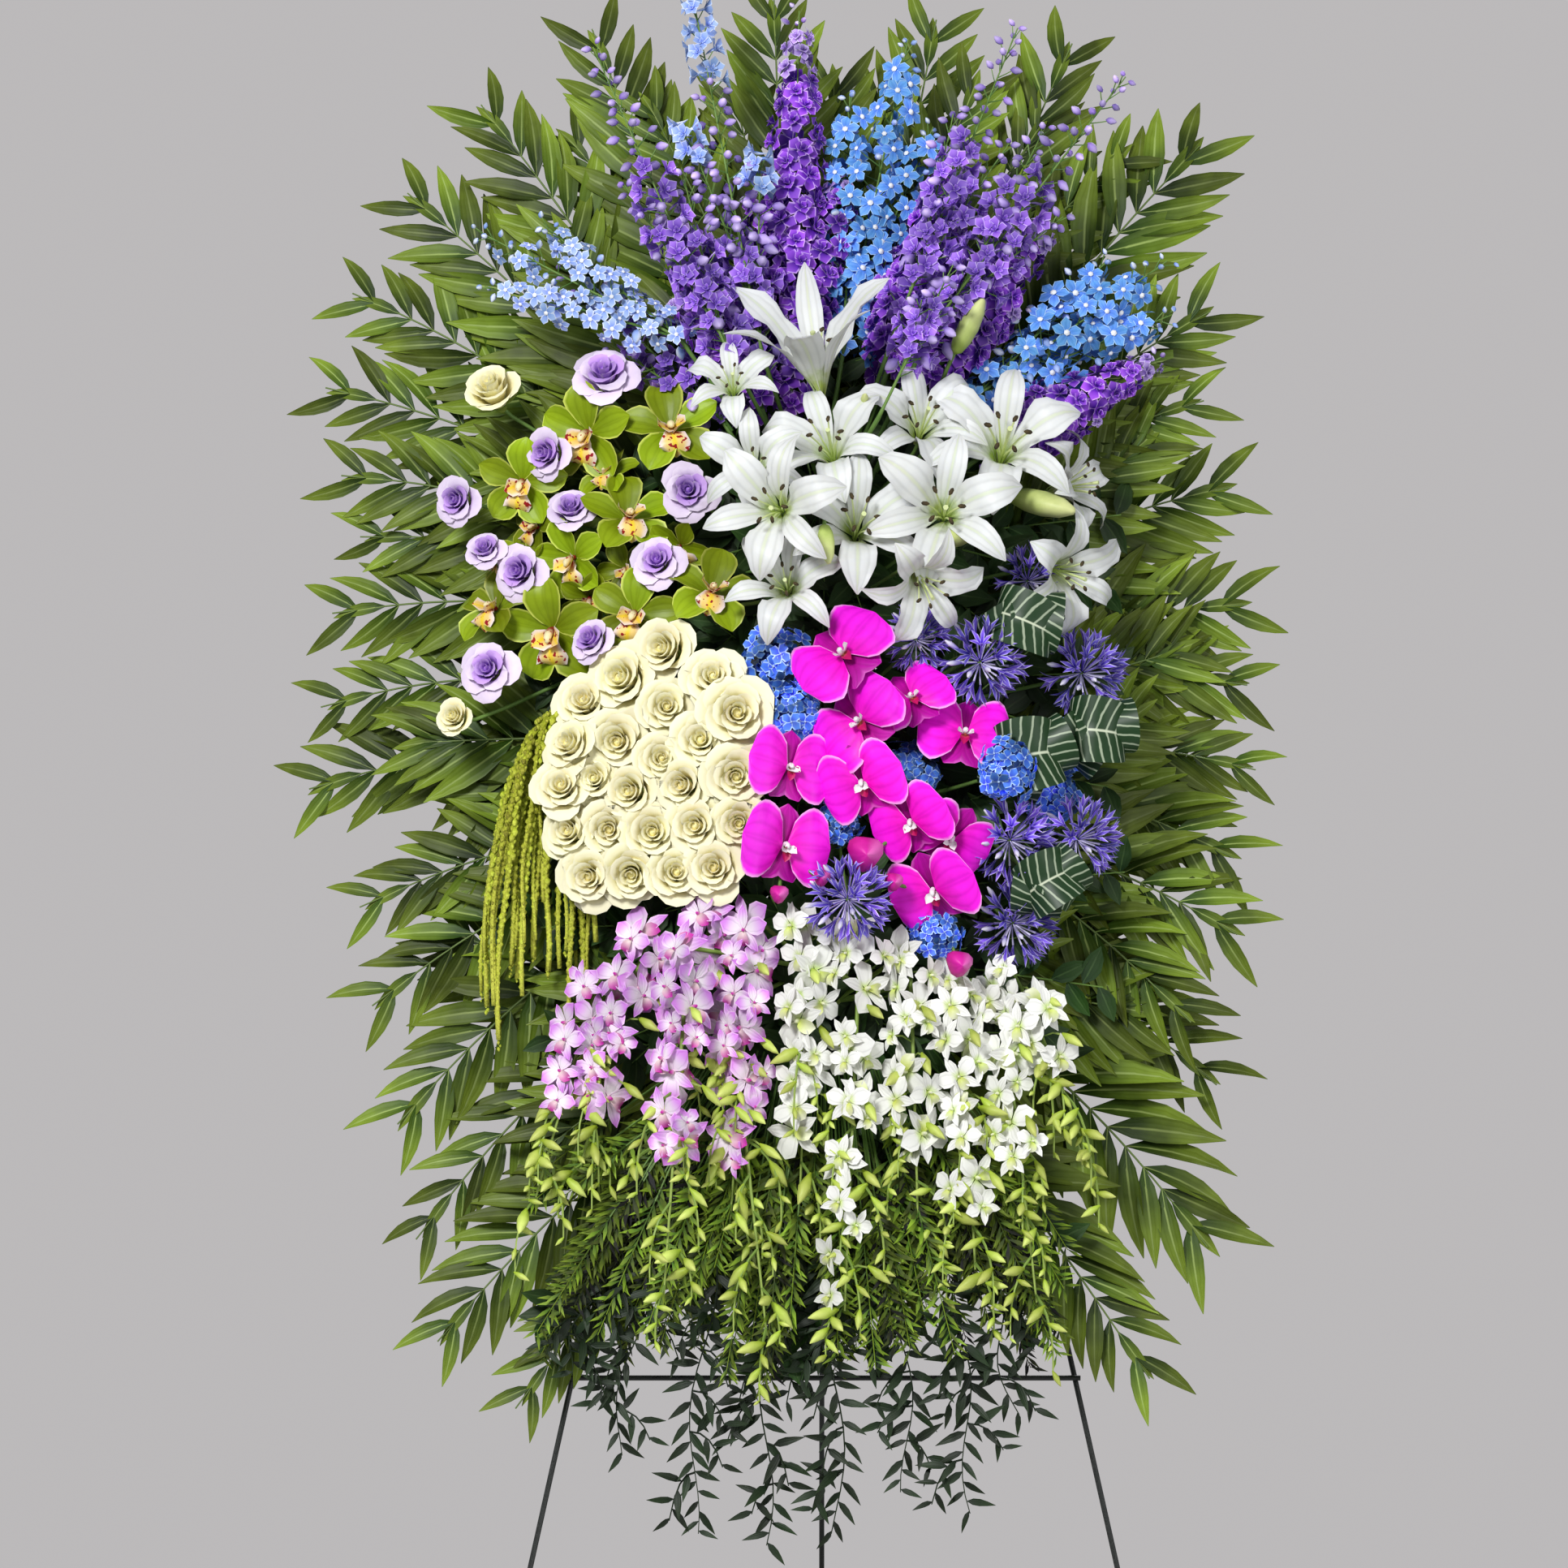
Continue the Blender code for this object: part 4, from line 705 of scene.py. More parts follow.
# Middle and half axes of the oval that the longest of them reach to
RIM_COLUMN = 990
RIM_ROW = 850
RIM_HALF_WIDTH = 500
RIM_HALF_HEIGHT = 800
# Tips of the fronds from the top of the foam, behind the spikes
CROWN_TIPS = (
    (700, 150), (800, 110), (905, 95), (1030, 80), (1090, 100), (1205, 85), (1290, 130), (1390, 170),
)


def filler_fronds(leaflets):
    """Shorter fronds out of the foam's sides, which close the spray behind the flowers."""
    draw = random.Random(8)
    forms = []
    for n in range(FILLER_FRONDS):
        angle = 2 * pi * (n + 0.5) / FILLER_FRONDS + jitter(draw, 0.06)
        layer = FILLER_LAYERS[n % 5]
        far = (0.92, 0.66, 0.80)[n % 3]
        column = RIM_COLUMN + RIM_HALF_WIDTH * far * sin(angle)
        tip = at(column, RIM_ROW - RIM_HALF_HEIGHT * far * cos(angle), layer + 0.006)
        side = 1.0 if tip[0] > 0 else -1.0
        step = round((900 - 560 * cos(angle) - BRICK_TOP_ROW) / BRICK_STEP)
        brick = BRICK_TOP_ROW + BRICK_STEP * min(2, max(0, step))
        start = at(AXIS_COLUMN, brick + jitter(draw, 95), layer) + (side * (BRICK_HALF_WIDTH - 0.004), 0, 0)
        middle = start + (tip - start) * 0.5 + (side * 0.05, 0, 0)
        path = bezier([start, start + (side * 0.04, 0, 0), middle, tip], 20)
        forms += frond_form(bowed(path), draw.uniform(0.120, 0.140), draw, leaflets, 15)
    for n, (column, row) in enumerate(CROWN_TIPS):
        layer = (0.036, 0.078, 0.050, 0.064)[n % 4]
        start = np.array([(n - 3.5) * 0.012, -layer, FOAM_TOP - 0.004])
        tip = at(column, row, layer + 0.006)
        path = bezier([start, start + (0, 0, 0.06), (start + tip) / 2 + (0, 0, 0.03), tip], 20)
        forms += frond_form(bowed(path), draw.uniform(0.105, 0.125), draw, leaflets, 15)
    piece("filler_fronds", forms, [PALM, RIB], "palm_green")


# Upright spikes
# Each row: name, root, base and tip places, depth, radius

SPIKES = (
    ("stock_centre", (1015, 604), (975, 470), (985, -5), 0.150, 0.032),
    ("stock_left", (988, 648), (925, 470), (812, 235), 0.165, 0.031),
    ("stock_right_upper", (1042, 604), (1105, 420), (1188, 165), 0.150, 0.033),
    ("stock_right_middle", (1042, 648), (1160, 440), (1300, 262), 0.165, 0.031),
    ("stock_right_lower", (1042, 692), (1240, 540), (1440, 432), 0.150, 0.028),
    ("larkspur_left", (988, 604), (890, 440), (728, 72), 0.128, 0.026),
    ("larkspur_left_low", (988, 670), (875, 500), (690, 318), 0.150, 0.025),
    ("larkspur_top", (988, 582), (935, 430), (850, -12), 0.135, 0.026),
    ("larkspur_right", (1042, 626), (1165, 400), (1392, 105), 0.128, 0.026),
    ("larkspur_right_top", (1042, 582), (1120, 380), (1258, 40), 0.125, 0.024),
    ("larkspur_middle", (1015, 630), (1090, 520), (1175, 345), 0.180, 0.024),
    ("blue_delphinium_top", (1015, 582), (1045, 400), (1122, 30), 0.140, 0.027),
    ("blue_delphinium_right", (1042, 670), (1210, 480), (1445, 312), 0.145, 0.027),
    ("blue_delphinium_left", (988, 626), (820, 420), (582, 292), 0.128, 0.024),
)


def root_at(column, row):
    """Mouth of a stem's hole in the foam, and the stem's end inside."""
    mouth = at(column, row, BRICK_FRONT)
    return mouth, mouth - FORWARD * HOLE_DEPTH


def knuckle(root, slot):
    """Knot in front of the foam that a bunch's stems spring from, and its stem in the hole."""
    mouth, end = root_at(*root)
    hub = mouth + FORWARD * HUB_REACH
    return hub, [tube([end, mouth, hub, hub + FORWARD * 0.008], [0.0034, 0.0034, 0.006, 0.004], 6, slot)]


def stock_floret(draw):
    outer = blade([(0.05, 0), (0.55, 0.18), (1.0, -0.05)], 0.42, 0.62, 4, 3, cup=0.15, wave=0.3, waves=1.5,
                  fullness=0.6, phase=draw.uniform(0, 6))
    inner = blade([(0.05, 0.1), (0.3, 0.45), (0.62, 0.42)], 0.30, 0.62, 4, 3, cup=0.2, fullness=0.6)
    heart = blade([(0.02, 0.1), (0.10, 0.5), (0.32, 0.62)], 0.22, 0.62, 4, 3, cup=0.2, fullness=0.6)
    return joined([
        whorl(outer, 5, draw, tilt=-0.1),
        whorl(inner, 4, draw, 0.4, 0.1),
        whorl(heart, 2, draw, 0.9, 0.2),
    ])


def larkspur_floret(draw):
    petal = blade([(0.05, 0), (0.45, 0.42), (0.95, 0.62)], 0.40, 0.62, 4, 3, cup=0.35, fullness=0.65)
    heart = blade([(0.02, 0.1), (0.12, 0.4), (0.30, 0.5)], 0.16, 0.6, 4, 3, cup=0.2)
    spur = tube([(0, 0, 0.05), (0, 0.1, -0.5), (0, 0.35, -0.95)], [0.16, 0.10, 0.02], 4)
    return joined([whorl(petal, 5, draw, loose=0.12), whorl(heart, 3, draw, 0.4), spur])


def sky_floret(draw):
    petal = blade([(0.05, 0), (0.5, 0.10), (1.0, 0.0)], 0.34, 0.58, 4, 3, cup=0.12, fullness=0.65)
    eye = lathe([(0.14, 0.02), (0.20, 0.12), (0.06, 0.24)], 6, slot=1)
    return joined([whorl(petal, 5, draw, loose=0.10), eye])


# Of each kind: material slot, spacing of the florets, how wide they spread, where the buds begin
SPIKE_LOOKS = {
    "stock": ("stock_violet", 0.0053, 1.28, 0.86),
    "larkspur": ("larkspur_lavender", 0.0066, 1.20, 0.60),
    "blue": ("sky_blue", 0.0062, 1.45, 0.88),
}
# How far a side shoot leans out, and its share of the stem's length and width
SHOOTS = {"stock": (0.26, 0.46, 0.90), "larkspur": (0.20, 0.50, 0.85), "blue": (0.22, 0.72, 0.85)}


def spike_florets(kind, name, foot, axis, length, radius, draw, stars_of_kind, bud):
    """Florets and buds by golden turns up one stem."""
    slot, spacing, spread, opening = SPIKE_LOOKS[kind]
    if name == "larkspur_top":
        opening = 0.30
    side = unit(np.cross(axis, FORWARD))
    other = np.cross(axis, side)
    forms = []
    count = int(length / spacing)
    for n in range(count):
        t = (n + 0.5) / count
        angle = n * GOLDEN + jitter(draw, 0.3)
        out = side * cos(angle) + other * sin(angle)
        wide = radius * spread * (0.75 + t - 1.45 * t * t)
        here = foot + axis * length * (t + jitter(draw, 0.012)) - FORWARD * 0.05 * max(0, 0.35 - t)
        tone = jitter(draw, 0.7)
        if kind == "stock":
            size = wide * draw.uniform(0.42, 0.54) + 0.002
            face = out + axis * draw.uniform(0.0, 0.6) + FORWARD * 0.25
            centre = here + out * (wide - size * draw.uniform(0.3, 0.8))
            form = bud if t > 0.95 else stars_of_kind[n % 3]
            turn = frame_of(face, draw.uniform(0, 6), size)
            forms.append(placed(form, turn, centre, tone, 1 if t > 0.84 else 0))
            continue
        reach = wide * draw.uniform(0.35, 1.0)
        centre = here + out * reach + axis * 0.006
        stalk = [here - axis * 0.008, here + out * reach * 0.6, centre]
        forms.append(tube(stalk, [0.0008, 0.0007, 0.0007], 4, 3))
        top_cluster = name == "larkspur_top" and t > 0.74
        if not top_cluster and (t > opening or draw.random() < 0.15):
            size = (0.0160 if kind == "larkspur" else 0.0125) * (1.25 - 0.65 * t) * draw.uniform(0.85, 1.15)
            way = out + axis * (t - 0.7) + (0, 0, jitter(draw, 0.3))
            forms.append(placed(bud, frame_of(way, 0, size), centre - out * 0.003, tone, 2))
        elif kind == "larkspur":
            face = out + FORWARD * 0.4 + axis * 0.1
            turn = frame_of(face, draw.uniform(0, 6), 0.0135 * draw.uniform(0.85, 1.15))
            forms.append(placed(stars_of_kind[n % 3], turn, centre, tone, 1 if top_cluster else 0))
        else:
            size = (0.0125 if name == "blue_delphinium_left" else 0.0165) * draw.uniform(0.85, 1.15)
            turn = frame_of(out + FORWARD * 0.7 + axis * 0.2, draw.uniform(0, 6), size)
            forms.append(placed(stars_of_kind[n % 3], turn, centre, tone))
    return forms


def spikes():
    draw = random.Random(17)
    florets = {
        "stock": [stock_floret(draw) for _ in range(3)],
        "larkspur": [larkspur_floret(draw) for _ in range(3)],
        "blue": [sky_floret(draw) for _ in range(3)],
    }
    bud = lathe([(0.04, 0), (0.30, 0.25), (0.38, 0.6), (0.22, 0.95), (0.04, 1.15)], 6)
    for name, root, base, tip, depth, radius in SPIKES:
        kind = name.split("_")[0]
        head = at(tip[0], tip[1], depth - 0.015)
        pushes = [FORWARD * 0.005 * n for n in range(40)]
        push = best(cloud_of(name), [((head + p)[None], p) for p in pushes])
        head = head + push
        foot = at(base[0], base[1], depth) + push
        mouth, end = root_at(*root)
        axis = unit(head - foot)
        below = foot - axis * radius * 0.7
        thick = 0.0034 if kind == "stock" else 0.0026
        stem = [end, mouth + FORWARD * 0.018, below, foot, head]
        forms = [tube(stem, [thick, thick, thick, thick * 0.7, 0.0007], 6, 3)]
        low = foot - axis * (-0.045 if name == "larkspur_middle" else 0.035)
        length = np.linalg.norm(head - low)
        forms += spike_florets(kind, name, low, axis, length, radius, draw, florets[kind], bud)
        across = unit(np.cross(axis, FORWARD))
        for sign in (1, -1):
            lean, share, thin = SHOOTS[kind]
            way = unit(axis + across * sign * lean * draw.uniform(0.8, 1.2) - FORWARD * 0.06)
            reach = length * share * draw.uniform(0.9, 1.1)
            base = low + axis * length * draw.uniform(0.06, 0.22)
            shoot = [base - axis * 0.02, base + way * reach * 0.3, base + way * reach]
            forms.append(tube(shoot, [0.0016, 0.0014, 0.0006], 4, 3))
            forms += spike_florets(kind, name, base, way, reach, radius * thin, draw, florets[kind], bud)
        paints = {
            "stock": [STOCK, STOCK_PALE, STOCK_PALE, STEM],
            "larkspur": [LARKSPUR, SKY_PALE, LARKSPUR_BUD, STEM],
            "blue": [SKY_PALE if name == "blue_delphinium_left" else SKY, SKY_EYE, SKY_PALE, STEM],
        }[kind]
        piece(name + "_florets", forms, paints, SPIKE_LOOKS[kind][0], name)


# Blooms on stems of their own, each given by column, row, radius and sometimes its facing

UP = (0.05, -0.35, 1.0)
LILIES_UPPER = (
    (1005, 455, 82, UP), (902, 484, 52), (1022, 552, 74), (1136, 522, 72), (1237, 552, 88),
    (1322, 596, 62, (0.95, -0.6, 0.1)),
)
LILIES_LOWER = (
    (928, 580, 62), (956, 640, 78), (1056, 650, 80), (1162, 640, 86),
    (1136, 728, 66, (0.1, -0.9, -0.7)), (968, 722, 66), (1312, 706, 68, (0.8, -0.8, -0.35)),
)
CYMBIDIUMS = (
    (723, 530, 48), (825, 526, 48), (641, 590, 42), (772, 637, 46), (706, 686, 40),
    (608, 750, 40), (680, 776, 50), (782, 756, 44), (876, 731, 46),
)
LILAC_ROSES = (
    (743, 461, 32), (604, 478, 33), (674, 556, 26), (849, 604, 28), (562, 614, 25), (702, 628, 24),
    (641, 704, 27), (596, 678, 21), (811, 693, 26), (731, 790, 24), (602, 826, 28), (560, 884, 22),
)
CREAM_ROSES = (
    (821, 801, 28), (770, 838, 31), (880, 838, 26), (722, 868, 27), (822, 872, 25), (908, 880, 31),
    (763, 914, 30), (865, 914, 27), (706, 924, 25), (816, 936, 24), (694, 976, 25), (735, 962, 24),
    (780, 976, 27), (845, 968, 27), (908, 956, 28), (706, 1026, 26), (752, 1022, 26), (806, 1026, 28),
    (860, 1018, 27), (912, 1014, 24), (730, 1080, 27), (780, 1076, 28), (834, 1076, 26), (882, 1070, 27),
)
PHALAENOPSES = (
    (1039, 808, 55), (1060, 890, 52), (1122, 862, 44), (1188, 905, 50), (972, 946, 46),
    (1062, 964, 46), (966, 1042, 50), (1122, 1012, 44), (1172, 1032, 42), (1150, 1096, 48),
)
# How far each moth orchid looks aside and up, and its spin
MOTH_LOOKS = (
    (-0.5, 0.3, 0.8), (-0.6, 0.1, 0.5), (-0.3, 0.4, 0.5), (-0.1, 0.3, -0.1), (0.5, 0.0, -0.4),
    (-0.2, -0.3, 0.6), (0.5, 0.0, -0.3), (-0.4, -0.4, 0.5), (-0.3, -0.5, -0.4), (-0.5, -0.5, 0.5),
)
HYDRANGEAS = (
    (955, 812, 40), (978, 880, 34), (1122, 948, 34), (1240, 968, 36), (1308, 920, 34),
    (1296, 984, 34), (1030, 1012, 30), (1152, 1152, 32),
)
AGAPANTHUSES = (
    (1210, 822, 44), (1338, 830, 42), (1130, 790, 34), (1246, 1042, 42), (1330, 1040, 40),
    (1044, 1118, 42), (1250, 1140, 42), (1270, 716, 34),
)
rolls = random.Random(7)


def ring_marks(count, radius, height, start=pi / 2, wave=0.0):
    """Corners that a bloom's solid has, at equal turns round its axis."""
    angles = start + 2 * pi * np.arange(count) / count
    reach = radius * (1 + wave * np.where(np.arange(count) % 2, 1, -1))
    return np.stack([reach * np.cos(angles), reach * np.sin(angles), np.full(count, height)], -1)


def bunch(node, blooms, root, lift, marks, forms_of, paints, slot, seat_share,
          grow=1.0, sway=0.0, extras=(), looks=()):
    """Blooms of one kind where the node's solid has them, on stems that spring from one root."""
    cloud = cloud_of(node)
    draw = random.Random(node)
    stem_slot = len(paints) - 1
    hub, forms = knuckle(root, stem_slot)
    centres = []
    for column, row, radius, *facing in blooms:
        face = unit(facing[0]) if facing else outward(column, row)
        start = at(column, row, dome(column, row) + lift)
        roll = jitter(rolls, 0.3)
        centre, size = seat(cloud, marks, start, frame_of(face, roll), radius * PIXEL)
        size *= grow
        face = unit(face + np.array([jitter(draw, sway), 0, jitter(draw, sway)]))
        if looks:
            aside, above, spin = looks[len(centres)]
            face = unit(face + np.array([aside, 0, above]))
            roll += spin
        centres.append((centre, face, size))
        form = forms_of(draw, len(centres) - 1)
        forms.append(placed(form, frame_of(face, roll, size), centre, jitter(draw, 0.2)))
        back = centre - face * size * seat_share
        path = bezier([hub, hub + (back - hub) * 0.6 - FORWARD * 0.03, back - face * 0.03, back], 7)
        forms.append(tube(path, 0.0022, 6, stem_slot))
    for extra in extras:
        forms += extra(centres, draw, stem_slot)
    piece(node + "_blooms", forms, paints, slot, node)


def lily(draw, n, upright=False):
    forms = []
    for k in range(6):
        inner = k % 2
        lift = draw.uniform(-0.06, 0.08)
        spine = [(0.03, -0.46), (0.26, 0.20 + lift), (0.70, 0.52 + lift), (1.04, draw.uniform(-0.10, 0.22))]
        if upright:
            spine = [(0.03, -0.46), (0.27, 0.28), (0.66, 0.78), (1.20, 0.92 + lift)]
        half = (0.25 if inner else 0.175) * (0.95 if upright else 1)
        petal = blade(spine, half, 0.56, 10, 7, cup=0.22, fold=-0.10, wave=0.30 if inner else 0.14, waves=2.2,
                      fullness=0.85, phase=draw.uniform(0, 6), sickle=jitter(draw, 0.06))
        angle = pi / 2 + k * pi / 3 + jitter(draw, 0.05)
        turn = turned(angle, 0, jitter(draw, 0.15))
        forms.append(placed(petal, turn, (0, 0, 0.01 * inner), jitter(draw, 1)))
    anther = lathe([(0.006, -0.05), (0.026, -0.03), (0.030, 0.02), (0.008, 0.055)], 6, slot=2)
    for k in range(6):
        angle = pi / 3 * k + jitter(draw, 0.2)
        spread = draw.uniform(0.20, 0.30)
        path = bezier([(0.02, 0, -0.42), (0.05, 0, 0.0), (spread, 0, draw.uniform(0.30, 0.42))], 5)
        turn = turned(angle)
        forms.append(placed(tube(path, 0.013, 4, 1), turn))
        forms.append(placed(anther, turned(angle, pi / 2), turn @ path[-1]))
    path = bezier([(0, 0, -0.42), (0.02, 0.0, 0.1), (0.05, -0.05, 0.50)], 5)
    forms.append(tube(path, [0.03, 0.018, 0.018, 0.02, 0.036], 6, 1))
    return joined(forms)


def upper_lily(draw, n):
    """The topmost lily is seen from its side, half open."""
    return lily(draw, n, n == 0)


def nearest(centres, place):
    """The bloom (centre, facing, size) that lies nearest to a place."""
    return min(centres, key=lambda c: np.linalg.norm(c[0] - place))


LILY_BUD_PROFILE = (
    (0.03, 0), (0.10, 0.06), (0.150, 0.25), (0.165, 0.5), (0.13, 0.78), (0.05, 0.97), (0.01, 1.0),
)
# Each bud: column, row, length in pixels and the way that it points
UPPER_BUDS = ((1195, 398, 78, (0.55, -0.3, 1.0)), (1065, 492, 30, (0.1, -1, 0.3)))
LOWER_BUDS = (
    (1285, 620, 96, (0.9, -0.5, -0.35)), (1178, 662, 74, (0.8, -0.7, 0.1)),
    (1018, 672, 62, (0.1, -0.5, -1.0)),
)


def lily_buds(places):
    """Maker of the closed and half-open green buds at those places."""
    def make(centres, draw, stem_slot):
        forms = []
        bud = lathe(LILY_BUD_PROFILE, 12, 3, 0.10, 3)
        for column, row, length, way in places:
            centre = at(column, row, dome(column, row) + 0.045)
            size = length * PIXEL
            base = centre - unit(way) * size * 0.5
            forms.append(placed(bud, frame_of(way, draw.uniform(0, 2), size), base, jitter(draw, 0.4)))
            near = nearest(centres, base)
            back = near[0] - near[1] * near[2] * 0.5
            path = bezier([back, (back + base) / 2 - FORWARD * 0.02, base - unit(way) * 0.03, base], 6)
            forms.append(tube(path, 0.0024, 6, stem_slot))
        return forms
    return make


def cymbidium(draw, n):
    forms = []
    for k in range(5):
        rise = 0.30 if k == 0 else 0.12
        spine = [(0.04, -0.04), (0.42, 0.14), (0.78, rise), (1.02, draw.uniform(-0.10, 0.30))]
        petal = blade(spine, 0.31 if k in (1, 4) else 0.36, 0.56, 8, 5, cup=0.34, fullness=0.78, wave=0.10,
                      phase=draw.uniform(0, 6))
        angle = pi / 2 + 2 * pi * k / 5 + jitter(draw, 0.06)
        forms.append(placed(petal, turned(angle), tone=jitter(draw, 0.7)))
    middle = blade([(0.0, 0.06), (0.32, 0.42), (0.60, 0.42), (0.66, 0.02)], 0.30, 0.62, 7, 7, cup=-0.15,
                   wave=0.35, waves=2.5, fullness=0.6, slot=1)
    forms.append(placed(middle, turned(-pi / 2)))
    for sign in (1, -1):
        lobe = blade([(0.0, 0.02), (0.12, 0.30), (0.32, 0.52)], 0.22, 0.6, 5, 5, cup=0.2, wave=0.2, slot=1)
        forms.append(placed(lobe, turned(-pi / 2 + sign * 1.0), (0, -0.02, 0)))
    column = bezier([(0, 0.02, 0), (0, 0.02, 0.28), (0, -0.16, 0.40)], 6)
    forms.append(tube(column, [0.06, 0.075, 0.08, 0.08, 0.075, 0.03], 8, 2))
    return joined(forms)


BACK_CYMBIDIUMS = (
    (660, 648, 40), (748, 582, 42), (838, 672, 42), (725, 735, 40), (612, 690, 36), (770, 700, 38),
)


def back_cymbidiums(centres, draw, stem_slot):
    """Blooms that face aside, behind and between the others, painted darker as the shade that falls on them
    there.
    """
    forms = []
    for column, row, radius in BACK_CYMBIDIUMS:
        face = unit(outward(column, row) + (jitter(draw, 0.9), 0, jitter(draw, 0.9)))
        centre = at(column, row, dome(column, row) - 0.035)
        turn = frame_of(face, jitter(draw, 0.6), radius * PIXEL)
        # Tone only below zero: painted shade on these rear blooms.
        forms.append(placed(cymbidium(draw, 0), turn, centre, draw.uniform(-0.8, -0.2)))
        near = nearest(centres, centre)
        back = near[0] - near[1] * 0.03
        path = bezier([back, (back + centre) / 2 - FORWARD * 0.02, centre], 5)
        forms.append(tube(path, 0.0018, 4, stem_slot))
    return forms


def rose(draw, petals, openness=1.0, pale_from=2.0):
    """Spiral of cupped petals round a tight heart."""
    forms = []
    for k in range(petals):
        s = min(1.0, k / (petals - 3))
        lip = (0.10 + 0.84 * s**1.15) * (0.9 + 0.1 * openness)
        top = 0.66 + 0.05 * sin(pi * s) - 0.40 * s**2 + jitter(draw, 0.03)
        angle = k * GOLDEN + jitter(draw, 0.2)
        petal = wrapped(angle, 1.5 - 0.38 * s, 0.04 + 0.22 * s, lip, -0.34 - 0.16 * s, top,
                        0.20 * openness * s**1.5)
        forms.append(placed(petal, tone=jitter(draw, 0.5), slot=1 if s > pale_from else 0))
    heart = lathe([(0.18, 0.05), (0.13, 0.34), (0.07, 0.44), (0.02, 0.46)], 8)
    forms.append(Form(heart.points, heart.quads, heart.shade * 0.4, heart.slot))
    return joined(forms)


def calyx(slot):
    leaf = blade([(0.05, 0), (0.4, -0.1), (0.8, 0.1)], 0.16, 0.35, 5, 3, slot=slot)
    return joined([placed(leaf, turned(2 * pi * k / 5, 0.25), (0, 0, -0.52)) for k in range(5)]
                  + [lathe([(0.05, -0.72), (0.22, -0.62), (0.26, -0.50), (0.12, -0.36)], 8, slot=slot)])


def cream_rose(draw, n):
    return joined([rose(draw, 18, draw.uniform(0.5, 0.9)), calyx(1)])


def lilac_rose(draw, n):
    """Lilac rose; the second and the last are white lisianthus."""
    bare = n in (1, 11)
    form = joined([rose(draw, 16, 0.3 if bare else draw.uniform(0.8, 1.2), 0.62), calyx(3)])
    if bare:
        white = np.where(form.slot < 2, 2, form.slot)
        return Form(form.points, form.quads, form.shade, white)
    return form


def moth_orchid(draw, n):
    forms = []
    for sign in (1, -1):
        spine = [(0.05, 0), (0.42, 0.18), (0.80, 0.12), (1.02, draw.uniform(-0.05, 0.08))]
        wing = blade(spine, 0.80, 0.52, 9, 9, cup=-0.06, fullness=0.46, wave=0.05, phase=draw.uniform(0, 6))
        forms.append(placed(wing, turned(0.10 if sign > 0 else pi - 0.10), (0, 0, 0.03), jitter(draw, 0.5)))
    sepals = ((pi / 2, 0.90, 0.34), (pi * 1.5 - 0.46, 0.80, 0.30), (pi * 1.5 + 0.46, 0.80, 0.30))
    for angle, length, half in sepals:
        sepal = blade([(0.05, -0.03), (0.45, 0.04), (1.0, -0.06)], half / length, 0.54, 8, 5, cup=-0.08,
                      fullness=0.65, slot=4)
        # Sepals get a low tone too: more painted shade behind the wings.
        forms.append(placed(sepal, turned(angle) * length, (0, 0, -0.04), draw.uniform(-1.2, -0.3)))
    middle = blade([(0.0, 0.04), (0.16, 0.20), (0.34, 0.16)], 0.10, 0.6, 6, 5, cup=0.5, slot=1)
    forms.append(placed(middle, turned(-pi / 2)))
    for sign in (1, -1):
        lobe = blade([(0.02, 0.04), (0.12, 0.20), (0.22, 0.34)], 0.10, 0.6, 5, 5, cup=0.5, slot=2)
        forms.append(placed(lobe, turned(-pi / 2 + sign * 0.9)))
    column = bezier([(0, 0.05, 0.04), (0, 0.04, 0.18), (0, -0.04, 0.24)], 5)
    forms.append(tube(column, [0.05, 0.06, 0.06, 0.055, 0.02], 8, 2))
    return joined(forms)


def golden_ball(count, fall):
    """Directions spread evenly over a ball, from its top down."""
    for k in range(count):
        height = 1 - fall * (k + 0.5) / count
        reach = sqrt(max(0.0, 1 - height * height))
        yield np.array([reach * cos(k * GOLDEN), reach * sin(k * GOLDEN), height])


def hydrangea(draw, n):
    """Head of four-petalled florets on a dome, round a dark core that is painted shade between the florets.
    """
    petal = blade([(0.04, 0), (0.5, 0.10), (1.0, 0.02)], 0.42, 0.58, 4, 3, cup=0.1, fullness=0.7, stub=0.06)
    floret = joined([whorl(petal, 4, draw), lathe([(0.08, 0.0), (0.15, 0.08), (0.05, 0.18)], 4, slot=1)])
    forms = []
    for out in golden_ball(36, 1.40):
        centre = out * (0.82, 0.82, 0.54) * draw.uniform(0.74, 1.16) + (0, 0, 0.02)
        face = out * (1, 1, 1.4) + (jitter(draw, 0.45), jitter(draw, 0.45), 0.2)
        size = draw.uniform(0.27, 0.36)
        forms.append(placed(floret, frame_of(face, draw.uniform(0, 3), size), centre, jitter(draw, 1)))
    # The core's dark blue is painted shade, seen in the gaps between the florets.
    core = lathe([(0.10, -0.5), (0.50, -0.28), (0.64, 0.05), (0.48, 0.34), (0.08, 0.44)], 10, slot=2)
    return joined(forms + [core])


